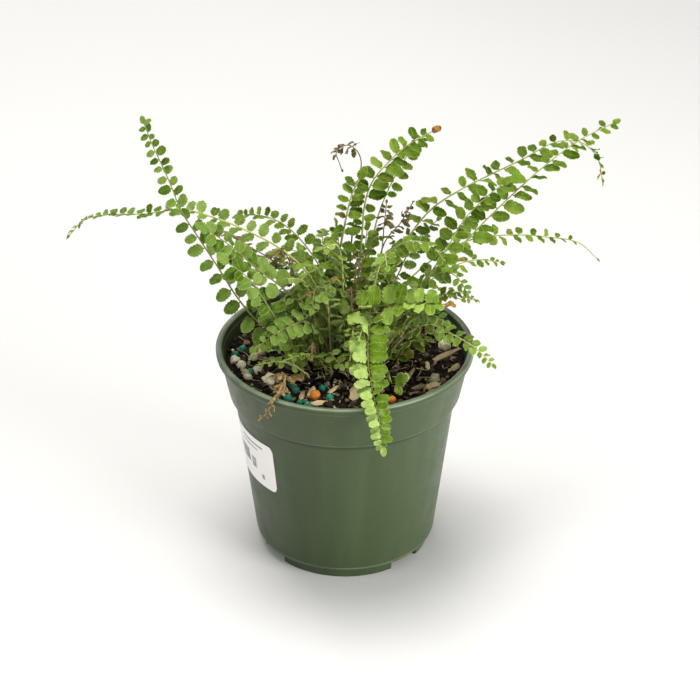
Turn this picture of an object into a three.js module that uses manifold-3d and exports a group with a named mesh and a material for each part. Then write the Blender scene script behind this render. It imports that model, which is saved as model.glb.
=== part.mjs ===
// Potted fern: a young sword fern with round leaflets, growing in a round plastic nursery pot.
// Millimetres, +Z up. The origin is the middle of the pot's base. X runs along the plant's widest
// spread, and -Y is the side where one frond hangs over the rim.
import * as THREE from "three";
import { mergeVertices } from "three/addons/utils/BufferGeometryUtils.js";
import Module from "manifold-3d";

const wasm = await Module();
wasm.setup();

// Pot
const POT_HEIGHT = 94;
const RIM_RADIUS = 54;
const LIP_HEIGHT = 3.2;
const LIP_WIDTH = 2.6;
const LIP_ROUND = 0.8;
const BAND_TOP_RADIUS = 52.2;
const BAND_BOTTOM_RADIUS = 48.8;
const BAND_BOTTOM_Z = 73;
const BODY_TOP_RADIUS = 46.6;
const BODY_BOTTOM_RADIUS = 38.8;
const BODY_BOTTOM_Z = 6.6;
const FOOT_RADIUS = 36.6;
const FOOT_HEIGHT = 4.2;
const FOOT_WIDTH = 2;
const FLOOR_UNDERSIDE_Z = 2;
const FLOOR_TOP_Z = 3.4;
const BEVEL = 0.6;
const GATE_RADIUS = 9;
const WALL = 1.3;
const POT_SIDES = 32;
const NOTCH_ANGLES = [44.8, 122.3, 224.8, 302.3];
const NOTCH_SPAN = 24;
const DRAIN_RADIUS = 3;
const DRAIN_CIRCLE = 30;
const DRAIN_SIDES = 8;

// Label on the pot's side; angles are measured from the front, positive to the right
const LABEL_FROM = -98;
const LABEL_TO = -41;
const LABEL_BOTTOM_Z = 40;
const LABEL_TOP_Z = 63.7;
const LABEL_THICKNESS = 0.4;
const LABEL_GAP = 0.45;
const LABEL_CORNER = 2.6;
const LABEL_STEPS = 10;

// Soil
const SEAT_GAP = 0.3;
const SOIL_EDGE_Z = 87;
const SOIL_MOUND = 3.4;
const SOIL_MOUND_RADIUS = 24;
const SOIL_LUMP = 0.5;
const SOIL_RINGS = 4;
const HOLE_DEPTH = 6;
const HOLE_RADIUS = 1.6;
const HOLE_SIDES = 4;

// Fronds
const STALK_RADIUS = 0.62;
const STALK_TIP_RADIUS = 0.4;
const STALK_STEP = 8.5;
const BLADE_THICKNESS = 0.9;
const LEAF_ROOT = 1.1;
const TIP_LEAF = 0.6;
const LAST_PAIR = 0.8;
const TIP_CROWDING = 0.38;
const WIDEST_OF_SPACING = 0.84;
const STALK_CLEARANCE = 0.7;
const LEAF_CLEARANCE = 0.72;
const SOIL_CLEARANCE = 0.5;

const degrees = THREE.MathUtils.degToRad;
const SIN_60 = Math.sin(degrees(60));

// A repeatable random source: each frond has its own, so they stay alike when another changes.
function makeRandom(seed) {
  let state = (seed * 7919 + 12345) % 2147483647;
  return (low, high) => {
    state = (state * 16807) % 2147483647;
    return low + ((high - low) * state) / 2147483647;
  };
}

function soilHeight(x, y) {
  const r2 = (x * x + y * y) / SOIL_MOUND_RADIUS ** 2;
  const broad = Math.sin(0.31 * x + 0.8) * Math.cos(0.27 * y - 0.4);
  const fine = 0.6 * Math.sin(0.17 * x - 0.37 * y);
  return SOIL_EDGE_Z + SOIL_MOUND * Math.exp(-r2) + SOIL_LUMP * (broad + fine);
}

// Solids for joining and cutting

function solidOf(geometry) {
  const bare = geometry.clone();
  bare.deleteAttribute("normal");
  bare.deleteAttribute("uv");
  const merged = mergeVertices(bare, 1e-4);
  return new wasm.Manifold(
    new wasm.Mesh({
      numProp: 3,
      vertProperties: new Float32Array(merged.attributes.position.array),
      triVerts: new Uint32Array(merged.index.array),
    }),
  );
}

function geometryOf(solid) {
  const mesh = solid.getMesh();
  const geometry = new THREE.BufferGeometry();
  geometry.setAttribute("position", new THREE.BufferAttribute(new Float32Array(mesh.vertProperties), 3));
  geometry.setIndex(new THREE.BufferAttribute(new Uint32Array(mesh.triVerts), 1));
  return geometry;
}

// Pot

// A direction seen from above: 0 is the front (-Y), positive turns to the right (+X).
function around(angle, radius, z) {
  return new THREE.Vector3(radius * Math.sin(degrees(angle)), -radius * Math.cos(degrees(angle)), z);
}

function bodyRadius(z) {
  const share = (z - BODY_BOTTOM_Z) / (BAND_BOTTOM_Z - BODY_BOTTOM_Z);
  return BODY_BOTTOM_RADIUS + share * (BODY_TOP_RADIUS - BODY_BOTTOM_RADIUS);
}

function lathe(profile) {
  const points = profile.map(([r, z]) => new THREE.Vector2(r, z));
  return new THREE.LatheGeometry(points, POT_SIDES).rotateX(Math.PI / 2);
}

// The inner wall of the pot from its floor to just under the lip, as [radius, z] pairs.
const innerWall = [
  [BODY_BOTTOM_RADIUS - 2 * WALL, FLOOR_TOP_Z],
  [BODY_BOTTOM_RADIUS - WALL, BODY_BOTTOM_Z + BEVEL],
  [BODY_TOP_RADIUS - WALL, BAND_BOTTOM_Z - 2 * BEVEL],
  [BAND_BOTTOM_RADIUS - WALL, BAND_BOTTOM_Z + 2 * BEVEL],
  [BAND_TOP_RADIUS - WALL, POT_HEIGHT - LIP_HEIGHT],
];

function potGeometry() {
  const profile = [
    [0, 0],
    [GATE_RADIUS, 0],
    [GATE_RADIUS + BEVEL, FLOOR_UNDERSIDE_Z],
    [FOOT_RADIUS - FOOT_WIDTH, FLOOR_UNDERSIDE_Z],
    [FOOT_RADIUS - FOOT_WIDTH, 0],
    [FOOT_RADIUS - BEVEL, 0],
    [FOOT_RADIUS, FOOT_HEIGHT],
    [BODY_BOTTOM_RADIUS - BEVEL, FOOT_HEIGHT + BEVEL],
    [BODY_BOTTOM_RADIUS, BODY_BOTTOM_Z],
    [BODY_TOP_RADIUS, BAND_BOTTOM_Z],
    [BAND_BOTTOM_RADIUS, BAND_BOTTOM_Z + BEVEL],
    [BAND_TOP_RADIUS, POT_HEIGHT - LIP_HEIGHT],
    [RIM_RADIUS - BEVEL / 2, POT_HEIGHT - LIP_HEIGHT + BEVEL],
    [RIM_RADIUS, POT_HEIGHT - LIP_ROUND - BEVEL],
    [RIM_RADIUS - LIP_ROUND, POT_HEIGHT],
    [RIM_RADIUS - LIP_WIDTH, POT_HEIGHT],
    ...innerWall.toReversed(),
    [0, FLOOR_TOP_Z],
  ];
  let pot = solidOf(lathe(profile));
  for (const angle of NOTCH_ANGLES) {
    pot = pot.subtract(solidOf(footNotch(angle)));
    pot = pot.subtract(solidOf(drainHole(angle)));
  }
  return geometryOf(pot);
}

// A sector cut out of the foot ring, where water runs out from under the pot.
function footNotch(angle) {
  const shape = new THREE.Shape();
  const inner = FOOT_RADIUS - FOOT_WIDTH - 1.5;
  const outer = FOOT_RADIUS + 1;
  const steps = 3;
  for (let i = 0; i <= steps; i++) {
    const p = around(angle + NOTCH_SPAN * (i / steps - 0.5), outer, 0);
    if (i === 0) shape.moveTo(p.x, p.y);
    else shape.lineTo(p.x, p.y);
  }
  for (let i = steps; i >= 0; i--) {
    const p = around(angle + NOTCH_SPAN * (i / steps - 0.5), inner, 0);
    shape.lineTo(p.x, p.y);
  }
  const depth = FOOT_HEIGHT + 1;
  const sector = new THREE.ExtrudeGeometry(shape, { depth, bevelEnabled: false });
  return sector.translate(0, 0, FLOOR_UNDERSIDE_Z - depth);
}

function drainHole(angle) {
  const length = 2 * FLOOR_TOP_Z;
  const hole = new THREE.CylinderGeometry(DRAIN_RADIUS, DRAIN_RADIUS, length, DRAIN_SIDES);
  const centre = around(angle, DRAIN_CIRCLE, FLOOR_TOP_Z);
  return hole.rotateX(Math.PI / 2).translate(centre.x, centre.y, centre.z);
}

// Label: a thin curved patch with cut corners, standing just off the wall.
function labelGeometry() {
  const columns = [];
  for (let i = 0; i <= LABEL_STEPS; i++) {
    const angle = LABEL_FROM + ((LABEL_TO - LABEL_FROM) * i) / LABEL_STEPS;
    const trim = i === 0 || i === LABEL_STEPS ? LABEL_CORNER : 0;
    columns.push({ angle, low: LABEL_BOTTOM_Z + trim, high: LABEL_TOP_Z - trim });
  }
  const shell = new Shell();
  const face = (lift) =>
    columns.map(({ angle, low, high }) => [
      shell.point(around(angle, bodyRadius(low) + lift, low)),
      shell.point(around(angle, bodyRadius(high) + lift, high)),
    ]);
  const inner = face(LABEL_GAP);
  const outer = face(LABEL_GAP + LABEL_THICKNESS);
  for (let i = 0; i < LABEL_STEPS; i++) {
    shell.quad(outer[i][0], outer[i + 1][0], outer[i + 1][1], outer[i][1]);
    shell.quad(inner[i][0], inner[i][1], inner[i + 1][1], inner[i + 1][0]);
    shell.quad(inner[i][0], inner[i + 1][0], outer[i + 1][0], outer[i][0]);
    shell.quad(inner[i][1], outer[i][1], outer[i + 1][1], inner[i + 1][1]);
  }
  const last = LABEL_STEPS;
  shell.quad(inner[0][0], outer[0][0], outer[0][1], inner[0][1]);
  shell.quad(inner[last][0], inner[last][1], outer[last][1], outer[last][0]);
  return shell.geometry();
}

// Points and faces of one closed surface, wound so that the faces look out.
class Shell {
  constructor() {
    this.points = [];
    this.faces = [];
  }

  point(v) {
    this.points.push(v.x, v.y, v.z);
    return this.points.length / 3 - 1;
  }

  quad(a, b, c, d) {
    this.faces.push(a, b, c, a, c, d);
  }

  flat([first, ...rest]) {
    for (let i = 0; i < rest.length - 1; i++) this.faces.push(first, rest[i], rest[i + 1]);
  }

  fan(centre, loop) {
    loop.forEach((point, i) => this.faces.push(centre, point, loop[(i + 1) % loop.length]));
  }

  geometry() {
    const geometry = new THREE.BufferGeometry();
    geometry.setAttribute("position", new THREE.Float32BufferAttribute(this.points, 3));
    geometry.setIndex(this.faces);
    return geometry;
  }
}

// Room kept between pieces: each stalk and leaflet claims balls of space, and a leaflet that would
// enter another's is bent, shortened or left out. Only the stalk it grows from is passed over.
const CELL = 4;
const claims = new Map();

function cellKey(x, y, z) {
  return x + "," + y + "," + z;
}

function claim(points, radius, stalk) {
  for (const p of points) {
    const key = cellKey(...[p.x, p.y, p.z].map((v) => Math.floor(v / CELL)));
    if (!claims.has(key)) claims.set(key, []);
    claims.get(key).push({ p, radius, stalk });
  }
}

function isTaken(points, radius, ownStalk) {
  return points.some((p) => {
    if (hitsPotOrSoil(p, radius)) return true;
    const [i, j, k] = [p.x, p.y, p.z].map((v) => Math.floor(v / CELL));
    for (let a = i - 1; a <= i + 1; a++)
      for (let b = j - 1; b <= j + 1; b++)
        for (let c = k - 1; c <= k + 1; c++)
          for (const other of claims.get(cellKey(a, b, c)) ?? [])
            if (other.stalk !== ownStalk && p.distanceTo(other.p) < radius + other.radius) return true;
    return false;
  });
}

function hitsPotOrSoil(p, radius) {
  const r = Math.hypot(p.x, p.y);
  if (p.z > POT_HEIGHT + radius + SEAT_GAP) return false;
  if (r > RIM_RADIUS + radius + SEAT_GAP) return false;
  if (r > BAND_BOTTOM_RADIUS - WALL - radius) return true;
  return p.z < soilHeight(p.x, p.y) + radius + SOIL_CLEARANCE;
}

// Fronds

// Where the stalk runs: down in its hole, up out of the soil, then through the route's points.
function stalkCurve({ base, route }) {
  const [x, y] = base;
  const soil = soilHeight(x, y);
  const points = [
    new THREE.Vector3(x, y, soil - HOLE_DEPTH + SEAT_GAP),
    new THREE.Vector3(x, y, soil + 2),
    ...route.map((p) => new THREE.Vector3(...p)),
  ];
  return new THREE.CatmullRomCurve3(points);
}

// A frame that travels up the stalk without twisting: its face first looks back at the crown.
function framesAlong(curve, lengths, roll) {
  const total = curve.getLength();
  const start = curve.getPointAt(0);
  const away = curve.getPointAt(1).sub(start).setZ(0).normalize();
  const normal = away.negate();
  return lengths.map((s) => {
    const share = Math.min(s / total, 1);
    const centre = curve.getPointAt(share);
    const along = curve.getTangentAt(share);
    normal.addScaledVector(along, -normal.dot(along)).normalize();
    const face = normal.clone().applyAxisAngle(along, degrees(roll));
    const radius = THREE.MathUtils.lerp(STALK_RADIUS, STALK_TIP_RADIUS, share);
    return { centre, along, face, side: along.clone().cross(face), radius };
  });
}

// A corner of the stalk's three-sided section: 0 is its ridge, 1 and -1 are its right and left edges.
function stalkCorner({ centre, face, side, radius }, hand) {
  if (hand === 0) return centre.clone().addScaledVector(face, radius);
  return centre.clone().addScaledVector(face, -radius / 2).addScaledVector(side, hand * radius * SIN_60);
}

// A leaflet as shares of its length and width: its outline beyond its root, the highest spot of its
// upper face, and the spots whose room is claimed.
const LEAF_OUTLINE = [[0.3, -0.48], [0.86, -0.38], [0.98, 0.2], [0.4, 0.52]];
const LEAF_CREST = [0.55, 0];
const LEAF_ROOM = [
  [0.28, -0.3], [0.28, 0.3], [0.45, 0], [0.6, -0.34], [0.6, 0.36], [0.75, 0], [0.88, -0.26], [0.92, 0.16],
];

// A leaflet in space. reach is its length, and hand is 1 on the right and -1 on the left of the stalk.
function leafletPoints(frame, hand, { reach, width, lean, tilt, cup }) {
  const { along, face, side } = frame;
  const out = side.clone().multiplyScalar(hand * Math.cos(tilt)).addScaledVector(face, Math.sin(tilt));
  const normal = face.clone().multiplyScalar(Math.cos(tilt)).addScaledVector(side, -hand * Math.sin(tilt));
  const axis = out.clone().multiplyScalar(Math.cos(lean)).addScaledVector(along, Math.sin(lean));
  const across = along.clone().multiplyScalar(Math.cos(lean)).addScaledVector(out, -Math.sin(lean));
  const root = stalkCorner(frame, hand);
  const place = (u, v, lift) =>
    root
      .clone()
      .addScaledVector(axis, u * reach)
      .addScaledVector(across, v * width)
      .addScaledVector(normal, lift - cup * u * u * reach);
  return {
    outline: LEAF_OUTLINE.map(([u, v]) => place(u, v, 0)),
    crest: place(...LEAF_CREST, BLADE_THICKNESS),
    room: LEAF_ROOM.map(([u, v]) => place(u, v, 0)),
  };
}

// Ways to bend or shorten a leaflet, tried in turn until one is free.
const LEAF_TRIES = [
  { scale: 1, bend: 0 },
  { scale: 0.9, bend: 22 },
  { scale: 0.9, bend: -22 },
  { scale: 0.78, bend: 40 },
  { scale: 0.78, bend: -40 },
  { scale: 0.62, bend: 0 },
];

function placeLeaflet(frame, hand, leaf, stalk) {
  for (const { scale, bend } of LEAF_TRIES) {
    const size = { reach: leaf.reach * scale, width: leaf.width * scale };
    const points = leafletPoints(frame, hand, { ...leaf, ...size, tilt: leaf.tilt + degrees(bend) });
    if (!isTaken(points.room, LEAF_CLEARANCE, stalk)) {
      claim(points.room, LEAF_CLEARANCE, "leaflet");
      return points;
    }
  }
  return null;
}

// Distances along the stalk where pairs of leaflets sit: closer together towards the tip.
function pairPositions({ bare, spacing }, total) {
  const first = bare * total;
  const end = total - spacing * LAST_PAIR;
  const positions = [];
  let s = first;
  while (s < end) {
    positions.push(s);
    const t = (s - first) / (end - first);
    s += spacing * (1 - TIP_CROWDING * t * t);
  }
  return positions;
}

// One frond as one closed body: a three-sided stalk, with each leaflet's faces grown out of it.
function frondGeometry(frond, index) {
  const random = makeRandom(index + 1);
  const curve = stalkCurve(frond);
  const total = curve.getLength();
  const pairs = pairPositions(frond, total);
  const bareEnd = pairs[0] - LEAF_ROOT;
  const bareSteps = Math.max(2, Math.round(bareEnd / STALK_STEP));
  const lengths = [];
  for (let i = 0; i <= bareSteps; i++) lengths.push((bareEnd * i) / bareSteps);
  const leafSections = new Map();
  pairs.forEach((s) => {
    leafSections.set(lengths.length, (s - pairs[0]) / (total - pairs[0]));
    lengths.push(s - LEAF_ROOT / 2, s + LEAF_ROOT / 2);
  });
  lengths.push(total);
  const frames = framesAlong(curve, lengths, frond.roll);
  const shell = new Shell();
  const rings = frames.map((frame) => ({
    top: shell.point(stalkCorner(frame, 0)),
    right: shell.point(stalkCorner(frame, 1)),
    left: shell.point(stalkCorner(frame, -1)),
  }));
  shell.faces.push(rings[0].top, rings[0].left, rings[0].right);
  for (let i = 0; i < rings.length - 1; i++) {
    const [a, b] = [rings[i], rings[i + 1]];
    shell.quad(a.left, b.left, b.right, a.right);
    const leaves = {};
    if (leafSections.has(i)) {
      const centre = frames[i].centre.clone().lerp(frames[i + 1].centre, 0.5);
      for (const hand of [1, -1]) {
        const leaf = leafShape(frond, leafSections.get(i), random);
        leaves[hand] = placeLeaflet({ ...frames[i], centre }, hand, leaf, frond.name);
      }
    }
    growSide(shell, leaves[1]?.outline, leaves[1], [a.top, a.right], [b.right, b.top]);
    growSide(shell, leaves[-1]?.outline.toReversed(), leaves[-1], [b.top, b.left], [a.left, a.top]);
  }
  closeTip(shell, rings.at(-1), frames.at(-1), frond);
  return shell.geometry();
}

function leafShape({ leaf, ratio, spacing, tilt, lean, cup }, t, random) {
  const size = leaf * Math.min(1, 0.76 + 1.4 * t) * (1 - 0.5 * t ** 2.2) * random(0.9, 1.08);
  return {
    reach: size,
    width: Math.min(size * ratio * random(0.94, 1.06), spacing * WIDEST_OF_SPACING),
    lean: degrees(lean + 14 * t + random(-6, 6)),
    tilt: degrees(tilt + random(-12, 12)),
    cup: cup + random(-0.05, 0.08),
  };
}

// One side of one stalk section: a plain strip, or the two faces of a leaflet. near and far are the
// section's points before and after the outline.
function growSide(shell, outline, leaflet, near, far) {
  if (!leaflet) {
    shell.quad(...near, ...far);
    return;
  }
  const edge = outline.map((p) => shell.point(p));
  shell.fan(shell.point(leaflet.crest), [...near, ...edge, ...far]);
  shell.flat([far[0], ...edge.toReversed(), near[1]]);
}

// The leaflet at the very tip, in line with the stalk.
function closeTip(shell, ring, { centre, along, face, side }, { leaf }) {
  const reach = leaf * TIP_LEAF;
  const at = (u, v, lift) =>
    shell.point(
      centre
        .clone()
        .addScaledVector(along, u * reach)
        .addScaledVector(side, v * reach)
        .addScaledVector(face, lift - STALK_TIP_RADIUS / 2),
    );
  const outline = [at(0.45, 0.34, 0), at(1, 0, 0), at(0.45, -0.34, 0)];
  shell.fan(at(0.5, 0, BLADE_THICKNESS), [ring.top, ring.right, ...outline, ring.left]);
  shell.flat([ring.right, ring.left, ...outline.toReversed()]);
}

// Each frond: where it leaves the soil, the points its stalk passes through, the share of the stalk
// without leaflets, and the leaflets' spacing, length, width ratio and angles in degrees. roll turns
// the blade about its stalk.
const usual = {
  bare: 0.3,
  spacing: 6,
  leaf: 6,
  ratio: 0.74,
  tilt: 12,
  lean: 12,
  cup: 0.06,
  roll: 0,
  tone: "mature",
};

const namedFronds = [
  // Left side
  {
    name: "left_long",
    base: [-5, 4],
    route: [[-10, 5, 112], [-15, 6, 123], [-26, 9, 133], [-42, 14, 140], [-56, 18, 144], [-68, 22, 145],
      [-83, 26, 141], [-101, 31, 138], [-110, 34, 134], [-117, 36, 126]],
    roll: -30,
    bare: 0.22,
  },
  {
    name: "left_high",
    base: [-14, -4],
    route: [[-23, -6, 98], [-34, -8, 107], [-43, -7, 118], [-52, -3, 132], [-61, 2, 145], [-66, 4, 153],
      [-70, 7, 163], [-73, 9, 170], [-77, 11, 179], [-80, 12, 188]],
    leaf: 6.2,
    roll: -60,
    bare: 0.16,
  },
  {
    name: "left_middle",
    base: [-9, -6],
    route: [[-16, -7, 113], [-26, -8, 125], [-36, -9, 134], [-43, -10, 142], [-48, -11, 147],
      [-54, -12, 152]],
    roll: -45,
  },
  {
    name: "left_front",
    base: [-13, -12],
    route: [[-18, -14, 98], [-23, -15, 105], [-28, -15, 114], [-33, -16, 124], [-38, -17, 133],
      [-46, -18, 141]],
    roll: -50,
    bare: 0.2,
  },
  {
    name: "left_back",
    base: [-4, 14],
    route: [[-5, 20, 105], [-15, 31, 121], [-26, 40, 129], [-37, 47, 130], [-46, 52, 127]],
    roll: -20,
    leaf: 5,
    spacing: 5,
  },
  {
    name: "left_low",
    base: [-6, -12],
    route: [[-9, -14, 104], [-16, -18, 114], [-26, -24, 113], [-36, -29, 108]],
    roll: -25,
    bare: 0.34,
    leaf: 6.4,
  },
  {
    name: "left_rim",
    base: [-15, -20],
    route: [[-17, -22, 93], [-21, -23, 97], [-28, -24, 99], [-35, -25, 98]],
    tone: "young",
    leaf: 3.4,
    spacing: 3.2,
    bare: 0.4,
  },
  // Middle
  {
    name: "middle_upright",
    base: [-2, 8],
    route: [[-3, 8, 110], [-3, 9, 127], [-1, 9, 139], [1, 9, 150], [3, 10, 158], [6, 11, 164]],
    roll: 75,
    bare: 0.36,
    leaf: 5.2,
  },
  {
    name: "middle_high",
    base: [3, 4],
    route: [[5, 5, 116], [7, 8, 140], [8, 9, 153], [11, 10, 163], [19, 11, 173], [26, 12, 179],
      [35, 13, 184]],
    roll: 50,
    bare: 0.52,
    leaf: 7,
  },
  {
    name: "middle_thin",
    base: [7, 11],
    route: [[9, 13, 122], [14, 18, 145], [20, 20, 160], [25, 21, 169], [32, 22, 178]],
    roll: 50,
    bare: 0.7,
    leaf: 4.4,
    spacing: 4.8,
  },
  {
    name: "middle_stalk",
    base: [10, 6],
    route: [[12, 8, 113], [15, 10, 130], [16, 11, 142], [17, 12, 153]],
    tone: "dry",
    roll: 60,
    bare: 0.8,
    leaf: 3.6,
    spacing: 3.8,
  },
  {
    name: "middle_back",
    base: [4, 19],
    route: [[6, 28, 104], [9, 42, 110], [12, 54, 106]],
  },
  {
    name: "back_left",
    base: [-9, 17],
    route: [[-14, 26, 103], [-23, 38, 109], [-31, 48, 106]],
    leaf: 5,
  },
  // Right side
  {
    name: "right_long",
    base: [13, 9],
    route: [[16, 10, 110], [24, 12, 133], [35, 15, 148], [46, 18, 155], [59, 21, 161], [73, 24, 167],
      [86, 27, 173], [97, 29, 172], [104, 30, 165], [107, 31, 154]],
    roll: 35,
    bare: 0.36,
  },
  {
    name: "right_high",
    base: [15, 4],
    route: [[21, 4, 104], [34, 6, 122], [48, 9, 135], [59, 11, 147], [70, 13, 158], [82, 15, 169],
      [94, 17, 178], [108, 19, 185]],
    roll: 45,
    bare: 0.3,
    leaf: 6,
  },
  {
    name: "right_middle",
    base: [15, -2],
    route: [[24, -3, 111], [35, -2, 128], [42, -1, 140], [48, 0, 151], [55, 1, 159], [63, 2, 166]],
    roll: 55,
    bare: 0.45,
  },
  {
    name: "right_back",
    base: [12, 20],
    route: [[20, 24, 102], [37, 36, 114], [55, 46, 119], [73, 54, 117], [88, 60, 113], [103, 64, 108],
      [112, 66, 99]],
    roll: 30,
    bare: 0.32,
    leaf: 5,
  },
  {
    name: "right_rear",
    base: [18, 14],
    route: [[25, 17, 103], [40, 27, 112], [54, 34, 115], [67, 38, 112]],
    roll: 25,
    bare: 0.4,
    leaf: 5,
  },
  {
    name: "right_inner",
    base: [8, -3],
    route: [[11, -5, 118], [14, -8, 135], [22, -10, 145], [30, -11, 147], [36, -12, 144], [42, -13, 136]],
    roll: 20,
    tilt: -30,
    bare: 0.5,
    leaf: 5.4,
  },
  {
    name: "right_side",
    base: [19, 8],
    route: [[26, 14, 97], [36, 21, 103], [47, 28, 103], [57, 33, 96]],
    roll: 25,
    bare: 0.34,
    leaf: 5,
  },
  {
    name: "right_fan",
    base: [0, -9],
    route: [[-1, -11, 104], [0, -12.5, 112], [5, -13, 117], [12, -14, 119], [20, -17, 121],
      [28, -20, 123.5], [35, -22, 124.5], [40, -23, 125]],
    roll: 25,
    tilt: 24,
    lean: 2,
    bare: 0.36,
    leaf: 7.6,
    spacing: 5.8,
  },
  {
    name: "right_hanging",
    base: [13, -11],
    route: [[22, -17, 109], [32, -21, 119], [38, -24, 119], [40, -26, 111]],
    roll: 20,
    bare: 0.5,
    leaf: 5,
  },
  {
    name: "right_low",
    base: [18, -6],
    route: [[25, -8, 102], [34, -11, 109], [44, -16, 107], [53, -20, 103], [60, -23, 97]],
    tone: "young",
    roll: 30,
    bare: 0.34,
    leaf: 5.4,
  },
  // Front
  {
    name: "front_long",
    base: [8, -8],
    route: [[11, -8.5, 103], [12.5, -13, 113.6], [10.5, -20, 114.6], [9.4, -28, 111.5], [9.5, -38, 105],
      [11.5, -51, 99], [14, -60, 91], [15, -65, 84]],
    tone: "young",
    roll: -12,
    lean: 2,
    bare: 0.24,
    leaf: 6.4,
    spacing: 5.4,
  },
  {
    name: "front_young",
    base: [18, -24],
    route: [[20, -28, 93], [22, -31, 97], [28, -34, 98]],
    tone: "young",
    bare: 0.66,
    leaf: 6.4,
  },
  // Dried fronds
  {
    name: "dry_rim",
    base: [-22, -24],
    route: [[-25.5, -27.5, 96], [-24, -32, 96.5], [-25.3, -39, 96], [-27, -44.8, 95.9], [-28.4, -48, 95.2],
      [-29.5, -49.2, 92.8], [-31, -48.6, 89.8], [-32.6, -47.2, 87], [-34.5, -45.2, 84.3]],
    tone: "dry",
    bare: 0.24,
    leaf: 3.2,
    spacing: 5,
  },
  {
    name: "dry_curl",
    base: [2, 13],
    route: [[2, 16, 118], [3, 19, 135], [5, 22, 149], [6.2, 24, 159], [6.6, 25, 166], [5, 25, 170],
      [1.7, 25, 172.7], [-1.6, 25, 171.8], [-3.6, 25, 169.2], [-2.4, 25, 165.1], [-1.2, 25, 161.5]],
    tone: "dry",
    bare: 0.8,
    leaf: 2.4,
    spacing: 3.4,
  },
  {
    name: "dry_stalk",
    base: [-5, -1],
    route: [[-11, 1, 99], [-17, 2, 115], [-25, 3, 127], [-32, 3, 133], [-39, 4, 137], [-44, 4, 141],
      [-50, 5, 144]],
    tone: "dry",
    bare: 0.55,
    leaf: 3.2,
    spacing: 6,
  },
  {
    name: "dry_leaning",
    base: [9, 15],
    route: [[12, 18, 112], [17, 23, 130], [23, 25, 137], [28, 26, 146]],
    tone: "dry",
    bare: 0.76,
    leaf: 3.4,
    spacing: 4,
  },
];

// Short fronds that fill the middle of the clump. Each takes the first direction that is clear of
// the stalks already there.
const SHORT_FRONDS = 19;
const GOLDEN_ANGLE = 137.5;
const CROWN_RADIUS = 19;

function shortFrond(k, shift) {
  const random = makeRandom(900 + k);
  const angle = k * GOLDEN_ANGLE + 20 + shift;
  const start = around(angle, CROWN_RADIUS * Math.sqrt((k + 2) / (SHORT_FRONDS + 2)), 0);
  const front = (1 + Math.cos(degrees(angle))) / 2;
  const reach = random(13, 22);
  const rise = random(18, 34) - 11 * front;
  const turn = random(-25, 25);
  const passes = [
    [0.22, 0.45, 0],
    [0.6, 0.92, 0.5],
    [1, 1 - random(0, 0.16), 1],
  ];
  const route = passes.map(([out, high, turned]) => {
    const p = around(angle + turn * turned, reach * out, 0).add(start);
    return [p.x, p.y, SOIL_EDGE_Z + 4 + rise * high];
  });
  return {
    ...usual,
    name: "short_" + (k + 1),
    base: [start.x, start.y],
    route,
    bare: 0.26,
    leaf: random(5.2, 6.6),
    spacing: 5.4,
    roll: random(-25, 25),
    tone: ["mature", "dark", "mature", "young"][k % 4],
  };
}

// Points along the part of a stalk that stands out of the soil, and along its tip leaflet.
const ROOM_STEP = 1.2;
const ROOM_FROM = 1.8;

function stalkRoom(frond) {
  const curve = stalkCurve(frond);
  const points = curve.getSpacedPoints(Math.ceil(curve.getLength() / ROOM_STEP));
  const tip = [0.3, 0.6, 0.9].map((share) =>
    points.at(-1).clone().addScaledVector(curve.getTangentAt(1), share * TIP_LEAF * frond.leaf),
  );
  return [...points, ...tip].filter((p) => p.z > soilHeight(p.x, p.y) + ROOM_FROM);
}

function claimStalk(frond) {
  claim(stalkRoom(frond), STALK_CLEARANCE, frond.name);
}

const TURNS_TRIED = 36;
const TURN_STEP = 5;
const SPARE_ROOM = 0.5;

const fronds = namedFronds.map((frond) => ({ ...usual, ...frond }));
fronds.forEach(claimStalk);
for (let k = 0; k < SHORT_FRONDS; k++) {
  for (let turn = 0; turn < TURNS_TRIED; turn++) {
    const frond = shortFrond(k, (turn % 2 ? -1 : 1) * Math.ceil(turn / 2) * TURN_STEP);
    if (isTaken(stalkRoom(frond), STALK_CLEARANCE + SPARE_ROOM, frond.name)) continue;
    claimStalk(frond);
    fronds.push(frond);
    break;
  }
}

// Soil

function soilGeometry() {
  let soil = solidOf(soilBody());
  for (const piece of soilPieces()) soil = soil.add(solidOf(piece));
  for (const { base } of fronds) soil = soil.subtract(solidOf(stalkHole(base)));
  return geometryOf(soil);
}

// The root ball: it follows the pot's inner wall just inside it, under a lumpy top.
function soilBody() {
  const shell = new Shell();
  const ring = (radius, height) => {
    const points = [];
    for (let i = 0; i < POT_SIDES; i++) {
      const p = around((360 * i) / POT_SIDES, radius, 0);
      p.z = height ?? soilHeight(p.x, p.y);
      points.push(shell.point(p));
    }
    return points;
  };
  const [floor, corner, shoulder, step, top] = innerWall;
  const share = (SOIL_EDGE_Z - step[1]) / (top[1] - step[1]);
  const edge = step[0] + share * (top[0] - step[0]) - SEAT_GAP;
  const rings = [
    ring(floor[0] - SEAT_GAP, floor[1] + SEAT_GAP),
    ring(corner[0] - SEAT_GAP, corner[1]),
    ring(shoulder[0] - SEAT_GAP, shoulder[1]),
    ring(step[0] - SEAT_GAP, step[1] + SEAT_GAP),
  ];
  for (let k = SOIL_RINGS; k > 0; k--) rings.push(ring((edge * k) / SOIL_RINGS));
  for (let r = 0; r < rings.length - 1; r++)
    for (let i = 0; i < POT_SIDES; i++) {
      const j = (i + 1) % POT_SIDES;
      shell.quad(rings[r][i], rings[r][j], rings[r + 1][j], rings[r + 1][i]);
    }
  shell.fan(shell.point(new THREE.Vector3(0, 0, soilHeight(0, 0))), rings.at(-1));
  shell.fan(shell.point(new THREE.Vector3(0, 0, floor[1] + SEAT_GAP)), rings[0].toReversed());
  return shell.geometry();
}

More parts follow.
